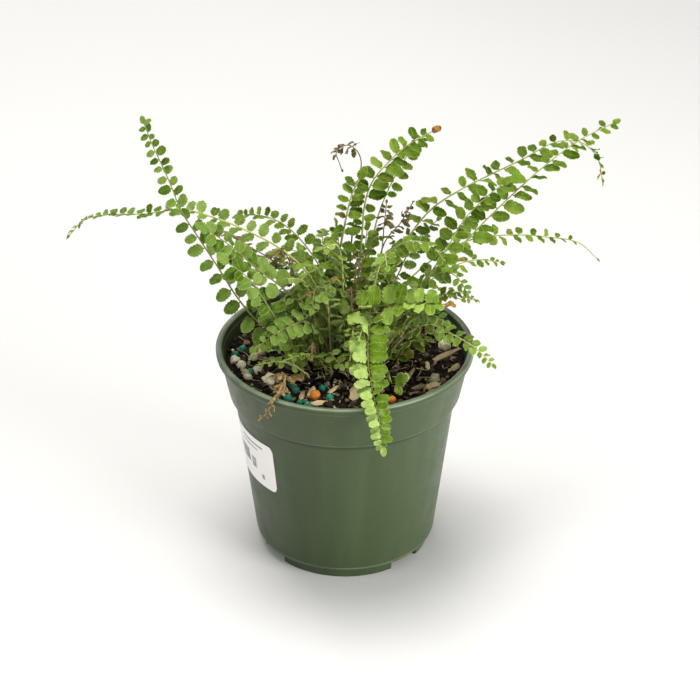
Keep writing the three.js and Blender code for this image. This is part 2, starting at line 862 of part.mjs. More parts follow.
function stalkHole([x, y]) {
  const height = 2 * HOLE_DEPTH;
  const hole = new THREE.CylinderGeometry(HOLE_RADIUS, HOLE_RADIUS, height, HOLE_SIDES);
  return hole.rotateX(Math.PI / 2).translate(x, y, soilHeight(x, y));
}

// What lies in the soil's top: fertiliser beads and perlite as [x, y, radius], bark as
// [x, y, length, width, turn].
const beads = [
  [-46, 2, 1.8], [-43, 6, 1.7], [-39, -12, 1.6], [-22, -23, 1.6], [-20, -28, 1.8], [-23, -34, 1.8],
  [-18, -36, 1.4], [-15, -38, 1.5], [-9, -27, 1.5], [-6, -34, 1.6], [-12, -32, 2.2], [19, -35, 1.9],
];
const perlite = [
  [-31, -20, 2.8], [-36, -11, 2], [-38, -2, 1.9], [-35, 3, 2.1], [-46, -3, 2], [-43, -8, 1.9],
  [42, 9, 2.6], [37, -19, 2.4],
];
const bark = [
  [42, 0, 17, 3, 40], [46, -8, 6, 3.2, 60], [36, -23, 7, 4, 20], [-11, -37, 8, 3.4, 10],
  [-5, -28, 9, 1.8, 50], [4, -30, 9, 5, 95], [30, -25, 8, 3, 35], [27, -15, 10, 2.2, 70],
  [-27, -31, 6, 4, 120],
];
const LOOSE_CHIPS = 4;
const GRAIN_SINK = 0.15;
const BARK_THICKNESS = 3;
const BARK_SINK = 0.4;

function soilPieces() {
  const random = makeRandom(77);
  const chips = [...bark];
  for (let i = 0; i < LOOSE_CHIPS; i++) {
    const p = around(random(0, 360), random(22, 45), 0);
    chips.push([p.x, p.y, random(4, 9), random(2, 3.6), random(0, 180)]);
  }
  const rounds = [...beads, ...perlite].map(([x, y, radius]) => {
    const grain = new THREE.OctahedronGeometry(radius, 0).rotateX(Math.PI / 2);
    return grain.translate(x, y, soilHeight(x, y) - radius * GRAIN_SINK);
  });
  const flats = chips.map(([x, y, length, width, turn]) => {
    const chip = new THREE.BoxGeometry(length, width, BARK_THICKNESS).rotateZ(degrees(turn));
    return chip.translate(x, y, soilHeight(x, y) - BARK_SINK);
  });
  return [...rounds, ...flats];
}

const toneColours = { young: 0x86b23c, mature: 0x5c8f33, dark: 0x45702c, dry: 0x8a6436 };

function material(color, roughness) {
  return new THREE.MeshStandardMaterial({ color, roughness, metalness: 0 });
}

const group = new THREE.Group();

function addPart(name, geometry, look) {
  const mesh = new THREE.Mesh(geometry, look);
  mesh.name = name;
  group.add(mesh);
}

addPart("pot", potGeometry(), material(0x3f5c3c, 0.5));
addPart("label", labelGeometry(), material(0xe8e6e0, 0.6));
addPart("soil", soilGeometry(), material(0x2b211a, 1));
fronds.forEach((frond, i) =>
  addPart("frond_" + frond.name, frondGeometry(frond, i), material(toneColours[frond.tone], 0.55)),
);

export default group;
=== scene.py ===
"""A potted fern: a smooth pot, its label, loose soil and fine fronds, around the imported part.

Lengths are in millimetres until a mesh is made, which is in metres. +Z is up and -Y is the front.
"""

import math
from itertools import product
from types import SimpleNamespace

import bmesh
import bpy
import numpy as np
from mathutils import Matrix, Vector, noise


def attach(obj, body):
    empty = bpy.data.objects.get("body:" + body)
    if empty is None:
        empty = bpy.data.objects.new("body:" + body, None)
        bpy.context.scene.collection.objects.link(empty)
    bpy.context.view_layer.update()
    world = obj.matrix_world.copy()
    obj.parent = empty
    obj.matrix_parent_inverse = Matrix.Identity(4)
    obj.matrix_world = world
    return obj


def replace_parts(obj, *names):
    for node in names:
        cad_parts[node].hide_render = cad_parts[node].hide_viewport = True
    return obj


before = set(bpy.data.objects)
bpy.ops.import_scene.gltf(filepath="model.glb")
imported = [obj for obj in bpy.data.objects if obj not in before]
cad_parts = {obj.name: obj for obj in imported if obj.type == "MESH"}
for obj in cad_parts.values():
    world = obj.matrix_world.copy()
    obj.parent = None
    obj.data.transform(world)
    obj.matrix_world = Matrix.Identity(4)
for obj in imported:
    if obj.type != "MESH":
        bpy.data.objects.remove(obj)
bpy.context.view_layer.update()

MM = 0.001

# Camera: where it stands, in metres, and how far down it looks, in degrees
CAMERA_PLACE = (0.0021, -0.7228, 0.5100)
CAMERA_DOWN = 30.13
FOCAL_PER_WIDTH = 2000 / 700
SENSOR_WIDTH = 36

# Floor and lights, in metres and watts; each light has a place, a size, a power and a colour
FLOOR_REACH = 14
GLOW_FROM, GLOW_TO, GLOW_MOST = 0.65, 1.7, 0.6
SKY_COLOUR = (0.95, 0.97, 1.0, 1)
SKY_STRENGTH = 0.28
LIGHT_AIM = Vector((0, 0, 0.1))
WHITE = (1, 1, 1)
LIGHTS = {
    "top": ((-0.1, 0.2, 1.3), 0.7, 19, (1, 0.99, 0.96)),
    "window": ((0.72, -0.52, 0.24), 0.45, 11, WHITE),
    "left": ((-0.9, -0.5, 0.7), 0.6, 2.8, WHITE),
    "front": ((-0.1, -1.0, 0.8), 0.6, 2, WHITE),
    "back": ((-0.35, 1.0, 0.6), 0.8, 3, WHITE),
}

# Pot
POT_HEIGHT = 94
RIM_RADIUS = 54
LIP_Z = POT_HEIGHT - 3.2
LIP_WIDTH = 2.6
BAND_TOP_RADIUS = 52.2
BAND_BOTTOM_RADIUS = 48.8
BAND_BOTTOM_Z = 73
# Height of a painted shadow line on the body just under the band's ledge
STEP_SHADE_Z = BAND_BOTTOM_Z - 1.7
STEP_Z = BAND_BOTTOM_Z - 1.2
BODY_TOP_RADIUS = 46.6
BODY_BOTTOM_RADIUS = 38.8
BODY_BOTTOM_Z = 6.6
FOOT_RADIUS = 36.6
FOOT_HEIGHT = 4.2
FOOT_INSIDE = FOOT_RADIUS - 2
FLOOR_UNDERSIDE_Z = 2
FLOOR_TOP_Z = 3.4
GATE_RADIUS = 9
WALL = 1.3
POT_SIDES = 160
NOTCH_ANGLES = (44.8, 122.3, 224.8, 302.3)
NOTCH_SPAN = 24
NOTCH_STEPS = 8
DRAIN_RADIUS = 3
DRAIN_CIRCLE = 30
DRAIN_DEPTH = 8
DRAIN_SIDES = 32
# Edges with a painted highlight, broken up by noise: each one's height, how far the highlight reaches, and
# how much of it shows
EDGE_HIGHLIGHTS = [
    (LIP_Z + 0.2, 0.5, 0.6), (BAND_BOTTOM_Z + 0.7, 0.5, 0.14),
    (POT_HEIGHT - 0.3, 0.7, 0.45), (BODY_BOTTOM_Z - 0.6, 0.7, 0.3),
]

# Label; angles are measured from the front, positive to the right
LABEL_FROM = -98
LABEL_TO = -41
LABEL_BOTTOM_Z = 40
LABEL_TOP_Z = 63.7
LABEL_CORNER = 2.6
LABEL_LIFT = 0.06
LABEL_THICKNESS = 0.16
LABEL_COLUMNS = 60
LABEL_ROWS = 24
# Its bars: each from and to across the label, then from and to up it, as shares
LABEL_BARS = [
    (0.50, 0.86, 0.84, 0.88), (0.50, 0.78, 0.75, 0.78), (0.42, 0.60, 0.34, 0.62),
    (0.64, 0.72, 0.30, 0.52), (0.80, 0.84, 0.16, 0.26), (0.20, 0.36, 0.40, 0.56),
]
BAR_BLUR = 0.012

# Soil
SOIL_EDGE_Z = 87
SOIL_MOUND = 3.4
SOIL_MOUND_RADIUS = 24
SOIL_LUMP = 0.5
SOIL_GAP = 0.3
SOIL_SIDES = 150
SOIL_RINGS = 56
HOLE_DEPTH = 6

# Where the larger grains lie: [x, y, radius]
GREEN_BEADS = [
    (-46, 2, 1.8), (-43, 6, 1.7), (-39, -12, 1.6), (-22, -23, 1.6), (-20, -28, 1.8), (-23, -34, 1.8),
    (-18, -36, 1.4), (-15, -38, 1.5), (-9, -27, 1.5), (-6, -34, 1.6),
]
ORANGE_BEADS = [(-12, -32, 2.2), (19, -35, 1.9)]
PERLITE = [
    (-31, -20, 2.8), (-36, -11, 2), (-38, -2, 1.9), (-35, 3, 2.1), (-46, -3, 2), (-43, -8, 1.9),
    (42, 9, 2.6), (37, -19, 2.4), (-41, -13, 1.6), (-40, -17, 1.7),
]
# Bark and wood: [x, y, length, width, turn]
BARK = [
    (42, 0, 17, 3, 40), (46, -8, 6, 3.2, 60), (36, -23, 7, 4, 20), (-11, -37, 8, 3.4, 10),
    (-5, -28, 9, 1.8, 50), (4, -30, 9, 5, 95), (30, -25, 8, 3, 35), (27, -15, 10, 2.2, 70),
    (-27, -31, 6, 4, 120),
]
GRAIN_SEED = 501
SMALL_PERLITE = 120
SMALL_BARK = 30
CRUMBS = 1500
LYING_FIBRES = 150
STANDING_FIBRES = 190
STRAND_STEPS = 7
STRAND_SIDES = 4
STRAND_BEND = 90

# Fronds
STALK_RADIUS = 0.5
STALK_TIP_RADIUS = 0.2
STALK_SIDES = 7
STALK_STEP = 1.5
STALK_RISE = 2
FEWEST_RINGS = 6
CURVE_STEPS = 24
PAIR_STAGGER = 0.2
TIP_GROWTH = 1.1
TIP_OVERLAP = 0.5

# Room: each stalk and leaflet claims balls of space, as in the part, and cells hold what is claimed
CELL = 4
STALK_CLEARANCE = 0.7
STALK_ROOM_STEP = 1.2
STALK_ROOM_ABOVE_SOIL = 1.8
TIP_ROOM = (0.3, 0.6, 0.9)
TIP_LEAF = 0.6
LEAF_CLEARANCE = 0.5
SOIL_CLEARANCE = 0.5
SPARE_ROOM = 0.5
# In front of a frond in plain view: how far towards the camera, how far above the stalk, and how wide
VIEW_STEPS = (11, 15, 19, 23, 28, 33)
VIEW_HEIGHTS = (0, 6)
VIEW_RADIUS = 2.6

# A leaflet's grid: rows along it, three to each tooth of its edge, and columns across it
LEAF_TEETH = 5
LEAF_FIRST_TOOTH = 0.07
LEAF_NOTCH = 0.76
LEAF_TOP_COLUMNS = np.array([-1, -0.55, 0, 0.55, 1])
LEAF_UNDER_COLUMNS = np.array([-1.0, 0, 1])
LEAF_CUP = 0.08
LEAF_FOLD = 0.32
LEAF_WAVE = 0.05
LEAF_EAR = 0.12
LEAF_THICKNESS = 0.24
LEAF_EDGE_THINNER = 0.12
# Spots of a leaflet whose room is claimed, as shares of its length and width
LEAF_ROOM = [
    (0.28, -0.3), (0.28, 0.3), (0.45, 0), (0.6, -0.34), (0.6, 0.36), (0.75, 0), (0.88, -0.26), (0.92, 0.16),
]
# Sizes and bends in which a leaflet is tried, one after another
LEAF_TRIES = [
    (1, 0), (0.95, 16), (0.95, -16), (0.9, 32), (0.9, -32), (0.8, 50), (0.8, -50), (0.7, 0), (0.6, 30),
]

# Each tone of frond: its slot, deep and light green, margin, stalk, and what else differs
TONES = {
    "young": ("young", (0.078, 0.145, 0.002), (0.235, 0.345, 0.06), (0.42, 0.52, 0.2),
              (0.44, 0.41, 0.17), {}),
    "long": ("mature", (0.042, 0.088, 0.0005), (0.172, 0.255, 0.055), (0.35, 0.42, 0.17),
             (0.42, 0.43, 0.15), {}),
    # pale: its light green is set high, so that the painted sheen on one half of front_long shows
    "pale": ("young", (0.09, 0.168, 0.003), (0.345, 0.46, 0.13), (0.38, 0.48, 0.16), (0.2, 0.2, 0.07),
             dict(veins=0.2)),
    # fan: greens painted lighter, as if lit through from behind, for leaflets that stand facing the camera
    # in the shade of other fronds
    "fan": ("mature", (0.11, 0.205, 0.003), (0.34, 0.475, 0.09), (0.49, 0.59, 0.22), (0.12, 0.13, 0.03), {}),
    "fresh": ("mature", (0.042, 0.088, 0.0005), (0.172, 0.255, 0.05), (0.35, 0.42, 0.17),
              (0.21, 0.21, 0.07), {}),
    "mature": ("mature", (0.029, 0.066, 0.0005), (0.157, 0.238, 0.026), (0.3, 0.37, 0.12),
               (0.26, 0.29, 0.09), {}),
    "dark": ("dark", (0.022, 0.05, 0.0005), (0.12, 0.185, 0.014), (0.25, 0.32, 0.08),
             (0.19, 0.16, 0.05), {}),
    "dry": ("dry", (0.06, 0.05, 0.02), (0.18, 0.13, 0.05), (0.3, 0.2, 0.1), (0.2, 0.14, 0.07),
            dict(brown=(0.22, 0.15, 0.065))),
    "withered": ("dry", (0.035, 0.05, 0.012), (0.09, 0.1, 0.03), (0.16, 0.14, 0.06), (0.17, 0.15, 0.06),
                 dict(brown=(0.13, 0.092, 0.046))),
}

# Short fronds of the part, and finer ones that only fill the clump between them
SHORT_FRONDS = 19
SHORT_SEED = 900
SHORT_TONES = ("mature", "dark", "mature", "young")
FILL_FRONDS = 84
FILL_SEED = 1400
FILL_TONES = ("mature", "fresh", "young", "dark", "fresh", "mature", "young", "fresh", "withered")
FILLS_LEFT_OUT = (29, 33, 82)
GOLDEN_ANGLE = 137.5
GOLDEN_SHARE = 0.618
CROWN_RADIUS = 19
ARCH_FOOT = 4
TURNS_TRIED = 36
TURN_STEP = 5

# What a frond is unless its own line says otherwise: leaf, spacing and tip_bare are in millimetres, roll,
# tilt and lean in degrees, and the rest are shares. Roll turns the blade about its stalk, tilt lifts the
# leaflets out of it, and lean turns them towards the tip.
USUAL = dict(
    tone="mature", bare=0.3, leaf=6.4, spacing=5.6, ratio=0.72, roll=0, roll_to=None, tilt=6, lean=14,
    lean_side=0, level=0.45, base_size=0.8, full_to=0.35, tip_size=0.42, tip_bare=0.8, fall=1.3,
    crowding=0.55, blunt=2.5, toothed=1.0, dryness=0.0, tip_dryness=0.0, chance_dry=True, wild=1.0,
    stem=1.0, root=0.7, pale_side=0.0, tints=(-0.2, 1.1), in_view=False,
)


def frond(name, base, route, **changes):
    return SimpleNamespace(name=name, base=base, route=route, **{**USUAL, **changes})


NAMED_FRONDS = [
    # Left side
    frond("left_long", (-5, 4), [(-10, 5, 112), (-15, 6, 123), (-26, 9, 133), (-42, 14, 140), (-56, 18, 144),
        (-68, 22, 145), (-83, 26, 141), (-101, 31, 138), (-110, 34, 134), (-117, 36, 126)], tone="long",
        bare=0.22, leaf=7, spacing=6, roll=-30, roll_to=15, tilt=22, level=0.3, full_to=0.3, stem=1.15),
    frond("left_high", (-14, -4), [(-23, -6, 98), (-34, -8, 107), (-43, -7, 118), (-52, -3, 132),
        (-61, 2, 145), (-66, 4, 153), (-70, 7, 163), (-73, 9, 170), (-77, 11, 179), (-80, 12, 188)],
        tone="fresh", bare=0.14, leaf=7.6, spacing=7.6, ratio=0.74, roll=-60, roll_to=-30, lean_side=20,
        level=0.4, base_size=0.75, full_to=0.3, tip_size=0.44, crowding=0.62, toothed=0.55, chance_dry=False,
        wild=1.3),
    frond("left_middle", (-9, -6), [(-16, -7, 113), (-26, -8, 125), (-36, -9, 134), (-43, -10, 142),
        (-48, -11, 147), (-54, -12, 152)], tone="fresh", leaf=7.6, spacing=6, ratio=0.8, roll=-45,
        lean_side=10, tip_size=0.8, toothed=0.55, wild=1.5),
    frond("left_front", (-13, -12), [(-18, -14, 98), (-23, -15, 105), (-28, -15, 114), (-33, -16, 124),
        (-38, -17, 133), (-46, -18, 141)], tone="fresh", bare=0.2, leaf=7.6, spacing=6.4, ratio=0.8,
        roll=-50, lean_side=10, tip_size=0.8, toothed=0.55, wild=1.5),
    frond("left_back", (-4, 14), [(-5, 20, 105), (-15, 31, 121), (-26, 40, 129), (-37, 47, 130),
        (-46, 52, 127)], leaf=6.2, roll=-25, tilt=20, level=0.1, tip_size=0.6),
    frond("left_low", (-6, -12), [(-9, -14, 104), (-16, -18, 114), (-26, -24, 113), (-36, -29, 108)],
        tone="fresh", bare=0.34, leaf=6.8, spacing=4.8, roll=-25, level=0.2, blunt=4),
    frond("left_rim", (-15, -20), [(-17, -22, 93), (-21, -23, 97), (-28, -24, 99), (-35, -25, 98)],
        tone="young", bare=0.4, leaf=4.2, spacing=3.2),
    # Middle
    frond("middle_upright", (-2, 8), [(-3, 8, 110), (-3, 9, 127), (-1, 9, 139), (1, 9, 150), (3, 10, 158),
        (6, 11, 164)], leaf=7, ratio=0.62, roll=60, level=0.6, tip_size=0.8, wild=1.5, stem=1.5),
    frond("middle_high", (3, 4), [(5, 5, 116), (7, 8, 140), (8, 9, 153), (11, 10, 163), (19, 11, 173),
        (26, 12, 179), (35, 13, 184)], bare=0.55, leaf=8.2, spacing=5.2, ratio=0.66, roll=50, lean_side=8,
        base_size=0.6, full_to=0.5, tip_size=0.5, crowding=0.3, toothed=0.5, tip_dryness=1.0, wild=1.6,
        stem=1.2),
    frond("middle_thin", (7, 11), [(9, 13, 122), (14, 18, 145), (20, 20, 160), (25, 21, 169), (32, 22, 178)],
        bare=0.7, leaf=5.4, spacing=5, roll=50),
    frond("middle_stalk", (10, 6), [(12, 8, 113), (15, 10, 130), (16, 11, 142), (17, 12, 153)],
        tone="withered", bare=0.84, leaf=3.8, spacing=2.6, ratio=0.95, roll=60, dryness=0.7),
    frond("middle_back", (4, 19), [(6, 28, 104), (9, 42, 110), (12, 54, 106)]),
    frond("back_left", (-9, 17), [(-14, 26, 103), (-23, 38, 109), (-31, 48, 106)], leaf=5.6),
    # Right side
    frond("right_long", (13, 9), [(16, 10, 110), (24, 12, 133), (35, 15, 148), (46, 18, 155), (59, 21, 161),
        (73, 24, 167), (86, 27, 173), (97, 29, 172), (104, 30, 165), (107, 31, 154)], bare=0.36, leaf=7.2,
        spacing=6, ratio=0.64, roll=35, lean_side=14, level=0.6, crowding=0.4, toothed=0.5, wild=1.8),
    frond("right_high", (15, 4), [(21, 4, 104), (34, 6, 122), (48, 9, 135), (59, 11, 147), (70, 13, 158),
        (82, 15, 169), (94, 17, 178), (108, 19, 185)], bare=0.34, leaf=8.2, spacing=6.4, ratio=0.6, roll=45,
        lean_side=16, level=0.6, full_to=0.5, crowding=0.4, toothed=0.5, wild=1.8),
    frond("right_middle", (15, -2), [(24, -3, 111), (35, -2, 128), (42, -1, 140), (48, 0, 151), (55, 1, 159),
        (63, 2, 166)], bare=0.45, leaf=7.4, spacing=6.2, ratio=0.74, roll=55, lean_side=10, tip_size=0.6,
        toothed=0.5, wild=1.8),
    frond("right_back", (12, 20), [(20, 24, 102), (37, 36, 114), (55, 46, 119), (73, 54, 117), (88, 60, 113),
        (103, 64, 108), (112, 66, 99)], bare=0.36, leaf=5.6, spacing=6.4, ratio=0.8, roll=30, tilt=18,
        level=0, tip_bare=12, crowding=0.1),
    frond("right_rear", (18, 14), [(25, 17, 103), (40, 27, 112), (54, 34, 115), (67, 38, 112)], bare=0.4,
        leaf=5.6, spacing=6, roll=25),
    frond("right_inner", (8, -3), [(11, -5, 118), (14, -8, 135), (22, -10, 145), (30, -11, 147),
        (36, -12, 144), (42, -13, 136)], bare=0.5, leaf=6.8, spacing=4.6, roll=20, tilt=-24, blunt=4),
    frond("right_side", (19, 8), [(26, 14, 97), (36, 21, 103), (47, 28, 103), (57, 33, 96)], bare=0.34,
        leaf=5, roll=25),
    frond("right_fan", (0, -9), [(-1, -11, 104), (0, -12.5, 112), (5, -13, 117), (12, -14, 119),
        (20, -17, 121), (28, -20, 123.5), (35, -22, 124.5), (40, -23, 125)], tone="fan", bare=0.36, leaf=9,
        spacing=6, ratio=0.68, roll=28, tilt=24, lean=2, level=0.1, full_to=0.6, tip_size=0.5, blunt=5,
        tip_dryness=0.9, chance_dry=False, wild=0.6, in_view=True),
    frond("right_hanging", (13, -11), [(22, -17, 109), (32, -21, 119), (38, -24, 119), (40, -26, 111)],
        tone="fresh", bare=0.5, leaf=6, spacing=4.6, roll=20),
    frond("right_low", (18, -6), [(25, -8, 102), (34, -11, 109), (44, -16, 107), (53, -20, 103),
        (60, -23, 97)], tone="young", bare=0.34, leaf=6, spacing=5.2, roll=30),
    # Front
    frond("front_long", (8, -8), [(11, -8.5, 103), (12.5, -13, 113.6), (10.5, -20, 114.6), (9.4, -28, 111.5),
        (9.5, -38, 105), (11.5, -51, 99), (14, -60, 91), (15, -65, 84)], tone="pale", bare=0.24, leaf=7.8,
        spacing=4.3, ratio=0.66, roll=-12, tilt=12, lean=2, level=0, base_size=1.15, full_to=0.45,
        tip_size=0.46, crowding=0.5, blunt=4.5, chance_dry=False, wild=0.5, stem=0.55, root=0.1,
        pale_side=0.45, tints=(0.15, 0.45), in_view=True),
    frond("front_young", (18, -24), [(18.8, -26.8, 90.5), (19.4, -28.8, 91.3), (20.6, -30, 92.8)],
        tone="fan", bare=0.88, leaf=8, spacing=6, roll=85, level=0.1, tip_size=0.95, chance_dry=False),
    # Dried fronds
    frond("dry_rim", (-22, -24), [(-25.5, -27.5, 96), (-24, -32, 96.5), (-25.3, -39, 96), (-27, -44.8, 95.9),
        (-28.4, -48, 95.2), (-29.5, -49.2, 92.8), (-31, -48.6, 89.8), (-32.6, -47.2, 87),
        (-34.5, -45.2, 84.3)], tone="dry", bare=0.2, spacing=1.3, ratio=1.0, base_size=1, full_to=0,
        tip_size=0.25, fall=0.5, crowding=-2.6, dryness=1.0),
    frond("dry_curl", (2, 13), [(2, 16, 118), (3, 19, 135), (5, 22, 149), (6.2, 24, 159), (6.6, 25, 166),
        (5, 25, 170), (1.7, 25, 172.7), (-1.6, 25, 171.8), (-3.6, 25, 169.2), (-2.4, 25, 165.1),
        (-1.2, 25, 161.5)], tone="withered", bare=0.84, leaf=3.4, spacing=1.9, ratio=1.2, full_to=0.7,
        tip_bare=7, dryness=0.95),
    frond("dry_stalk", (-5, -1), [(-11, 1, 99), (-17, 2, 115), (-25, 3, 127), (-32, 3, 133), (-39, 4, 137),
        (-44, 4, 141), (-50, 5, 144)], tone="withered", bare=0.55, leaf=7, spacing=4.2, ratio=0.85,
        dryness=0.5),
    frond("dry_leaning", (9, 15), [(12, 18, 112), (17, 23, 130), (23, 25, 137), (28, 26, 146)],
        tone="withered", bare=0.78, leaf=3.8, spacing=2.8, ratio=0.9, dryness=0.75),
]

# Fine fronds that the photo shows at the clump's outline, too small for the part
FINE_FRONDS = [
    frond("fine_right", (15, -4), [(20, -5, 106), (28.5, -6, 122), (36.4, -9, 131), (43.1, -12, 133),
        (47.5, -14, 129), (49.7, -15, 123)], tone="fresh", bare=0.45, leaf=5.6, spacing=4.4, roll=30,
        level=0.3, wild=1.6),
    frond("fine_edge", (16, -7), [(23, -8, 106), (34.6, -10, 119), (41.2, -14, 124.6), (47, -17.5, 124)],
        bare=0.4, leaf=5.4, spacing=4.2, roll=30, level=0.3, dryness=0.12, wild=1.8),
    frond("fine_left_stem", (-1, 1), [(0.5, 3, 110), (0.5, 4, 119), (-1.2, 6, 129), (-2.4, 8, 135.7),
        (-3.2, 9, 143)], bare=0.4, spacing=4.4, roll=60, level=0.5, tip_size=0.7, wild=1.6),
    frond("fine_right_stem", (6, 2), [(6.5, 4, 110), (6.6, 6.5, 120.5), (7.4, 9, 128), (8.4, 10.5, 134.7),
        (9.1, 11, 141)], bare=0.45, leaf=6.2, spacing=4.4, roll=50, level=0.5, tip_size=0.7, wild=1.6),
    frond("fine_rising", (11, 8), [(16, 9, 107), (22, 10, 120.7), (26.9, 13, 131), (32.6, 15, 138),
        (38, 16, 143)], tone="fresh", bare=0.5, leaf=6.2, spacing=4.8, roll=45, level=0.5, wild=1.6),
]


# Numbers and places


def make_random(seed):
    """A repeatable random source, the same one that settled the part's short fronds."""
    state = (seed * 7919 + 12345) % 2147483647

    def draw(low, high):
        nonlocal state
        state = state * 16807 % 2147483647
        return low + (high - low) * state / 2147483647

    return draw


def around(angle, radius, z=0.0):
    """A point seen from above: 0 degrees is the front, and positive turns to the right."""
    turn = math.radians(angle)
    return np.array([radius * math.sin(turn), -radius * math.cos(turn), z])


def unit(vector):
    return vector / np.linalg.norm(vector)


def square_to(vector, along):
    """The direction of what is left of a vector at right angles to another direction."""
    return unit(vector - along * vector.dot(along))


def turn_pair(a, b, degrees):
    """Two directions at right angles, turned in their plane: the first goes towards the second."""
    turn = math.radians(degrees)
    return a * math.cos(turn) + b * math.sin(turn), b * math.cos(turn) - a * math.sin(turn)


def body_radius(z):
    """The radius of the pot's tapered body."""
    share = (z - BODY_BOTTOM_Z) / (BAND_BOTTOM_Z - BODY_BOTTOM_Z)
    return BODY_BOTTOM_RADIUS + share * (BODY_TOP_RADIUS - BODY_BOTTOM_RADIUS)


def soil_height(x, y):
    """The height of the part's soil."""
    mound = SOIL_MOUND * np.exp(-(x * x + y * y) / SOIL_MOUND_RADIUS**2)
    broad = np.sin(0.31 * x + 0.8) * np.cos(0.27 * y - 0.4)
    fine = 0.6 * np.sin(0.17 * x - 0.37 * y)
    return SOIL_EDGE_Z + mound + SOIL_LUMP * (broad + fine)


def rough_soil(x, y):
    """The same with its lumps and pits."""
    fine = noise.fractal(Vector((x * 0.33, y * 0.33, 3.1)), 0.8, 2.2, 5)
    pits = noise.noise(Vector((x * 0.16, y * 0.16, 9.7)))
    return soil_height(x, y) - 0.5 + 0.75 * fine + 0.7 * pits


def on_soil(angle, radius):
    p = around(angle, radius)
    p[2] = rough_soil(p[0], p[1])
    return p


# Meshes


def strips(rows):
    """Four-cornered faces between each row of points and the next."""
    return [(a, b, d, c) for low, high in zip(rows, rows[1:])
            for a, b, c, d in zip(low, low[1:], high, high[1:])]


def rings(count, sides):
    """Rows of point numbers, each a ring that ends with its first point again."""
    return [[ring * sides + i % sides for i in range(sides + 1)] for ring in range(count)]


def tube(points, radii, sides, tangents=None):
    """The points and faces of a closed tube along points, with one radius for each."""
    if tangents is None:
        tangents = np.gradient(points, axis=0)
    turns = np.arange(sides) * 2 * math.pi / sides
    normal = np.cross(tangents[0], (0.31, 0.87, 0.38))
    ring_points = []
    for point, tangent, radius in zip(points, tangents, radii):
        along = unit(tangent)
        normal = square_to(normal, along)
        circle = np.outer(np.cos(turns), normal) + np.outer(np.sin(turns), np.cross(along, normal))
        ring_points.append(point + radius * circle)
    rows = rings(len(points), sides)
    return np.concatenate(ring_points), [*strips(rows), rows[0][-2::-1], rows[-1][:-1]]


class Builder:
    """Gathers points, faces and two values per point, and makes one piece of them."""

    def __init__(self):
        self.points = []
        self.faces = []
        self.values = {"leaf": [], "look": []}
        self.count = 0

    def add(self, points, faces, back=0, **values):
        """Adds points, an (n, 3) array, and faces that count from the first of them, less back."""
        self.points.append(points)
        first = self.count - back
        self.faces += [tuple(i + first for i in face) for face in faces]
        for name, kept in self.values.items():
            kept.append(np.broadcast_to(np.asarray(values.get(name, (0, 0, 0)), float), points.shape))
        self.count += len(points)

    def make(self, name, material, slot, sharp_angle=50):
        mesh = bpy.data.meshes.new(name)
        mesh.from_pydata((np.concatenate(self.points) * MM).tolist(), [], self.faces)
        for key, kept in self.values.items():
            attribute = mesh.attributes.new(key, "FLOAT_VECTOR", "POINT")
            attribute.data.foreach_set("vector", np.concatenate(kept).astype(np.float32).ravel())
        return finish_piece(mesh, name, material, sharp_angle)


def add_object(name, data):
    made = bpy.data.objects.new(name, data)
    bpy.context.scene.collection.objects.link(made)
    return made


def finish_piece(mesh, name, material, sharp_angle):
    """Makes a riding object of a mesh in the frame's own coordinates."""
    mesh.update()
    mesh.shade_smooth()
    mesh.set_sharp_from_angle(angle=math.radians(sharp_angle))
    mesh.materials.append(material)
    piece = add_object(name, mesh)
    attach(piece, "root")
    return piece


# Materials


class Wire:
    """What one node hands to others. Sums written with it make Math nodes."""

    def __init__(self, look, socket):
        self.look = look
        self.socket = socket

    def __abs__(self):
        return self.look.math("ABSOLUTE", self)

    def __add__(self, other):
        return self.look.math("ADD", self, other)

    def __sub__(self, other):
        return self.look.math("SUBTRACT", self, other)

    def __mul__(self, other):
        return self.look.math("MULTIPLY", self, other)


class Look:
    """A material's node tree, written as calls. Numbers, colours and wires all serve as inputs."""

    def __init__(self, name, **constants):
        self.material = bpy.data.materials.new(name)
        self.material.use_nodes = True
        self.tree = self.material.node_tree
        self.done(**constants)

    def done(self, **sockets):
        """Sets the shader's own sockets, and returns the material."""
        shader = self.tree.nodes["Principled BSDF"]
        self.set(shader, {key.replace("_", " "): value for key, value in sockets.items()})
        return self.material

    def set(self, node, inputs):
        for key, value in inputs.items():
            socket = node.inputs[key]
            if isinstance(value, Wire):
                self.tree.links.new(value.socket, socket)
            elif value is not None:
                socket.default_value = (*value, 1) if socket.type == "RGBA" else value

    def node(self, kind, inputs, output=0, **settings):
        made = self.tree.nodes.new("ShaderNode" + kind)
        for key, value in settings.items():
            setattr(made, key, value)
        self.set(made, inputs)
        return Wire(self, made.outputs[output])

    def split(self, vector):
        """A vector's three numbers."""
        made = self.node("SeparateXYZ", {0: vector}).socket.node
        return [Wire(self, socket) for socket in made.outputs]

    def place(self):
        return self.node("TexCoord", {}, "Object")

    def value(self, name):
        """The three numbers of a value kept with the mesh's points."""
        return self.split(self.node("Attribute", {}, "Vector", attribute_name=name))

    def noise(self, scale, detail, vector=None, roughness=0.55):
        inputs = {"Vector": vector or self.place(), "Scale": scale, "Detail": detail, "Roughness": roughness}
        return self.node("TexNoise", inputs, "Fac")

    def cells(self, scale):
        return self.node("TexVoronoi", {"Vector": self.place(), "Scale": scale}, "Distance")

    def stretched(self, scales):
        return self.node("Mapping", {"Vector": self.place(), "Scale": scales})

    def math(self, operation, a, b=0.0):
        return self.node("Math", {0: a, 1: b}, operation=operation)

    def ramp(self, factor, low, high, to_low=0.0, to_high=1.0):
        inputs = {"Value": factor, "From Min": low, "From Max": high, "To Min": to_low, "To Max": to_high}
        return self.node("MapRange", inputs, interpolation_type="SMOOTHSTEP")

    def mix(self, factor, a, b):
        return self.node("Mix", {"Factor": factor, 6: a, 7: b}, 2, data_type="RGBA")

    def bump(self, height, distance, strength, normal=None):
        inputs = {"Height": height, "Distance": distance, "Strength": strength, "Normal": normal}
        return self.node("Bump", inputs)


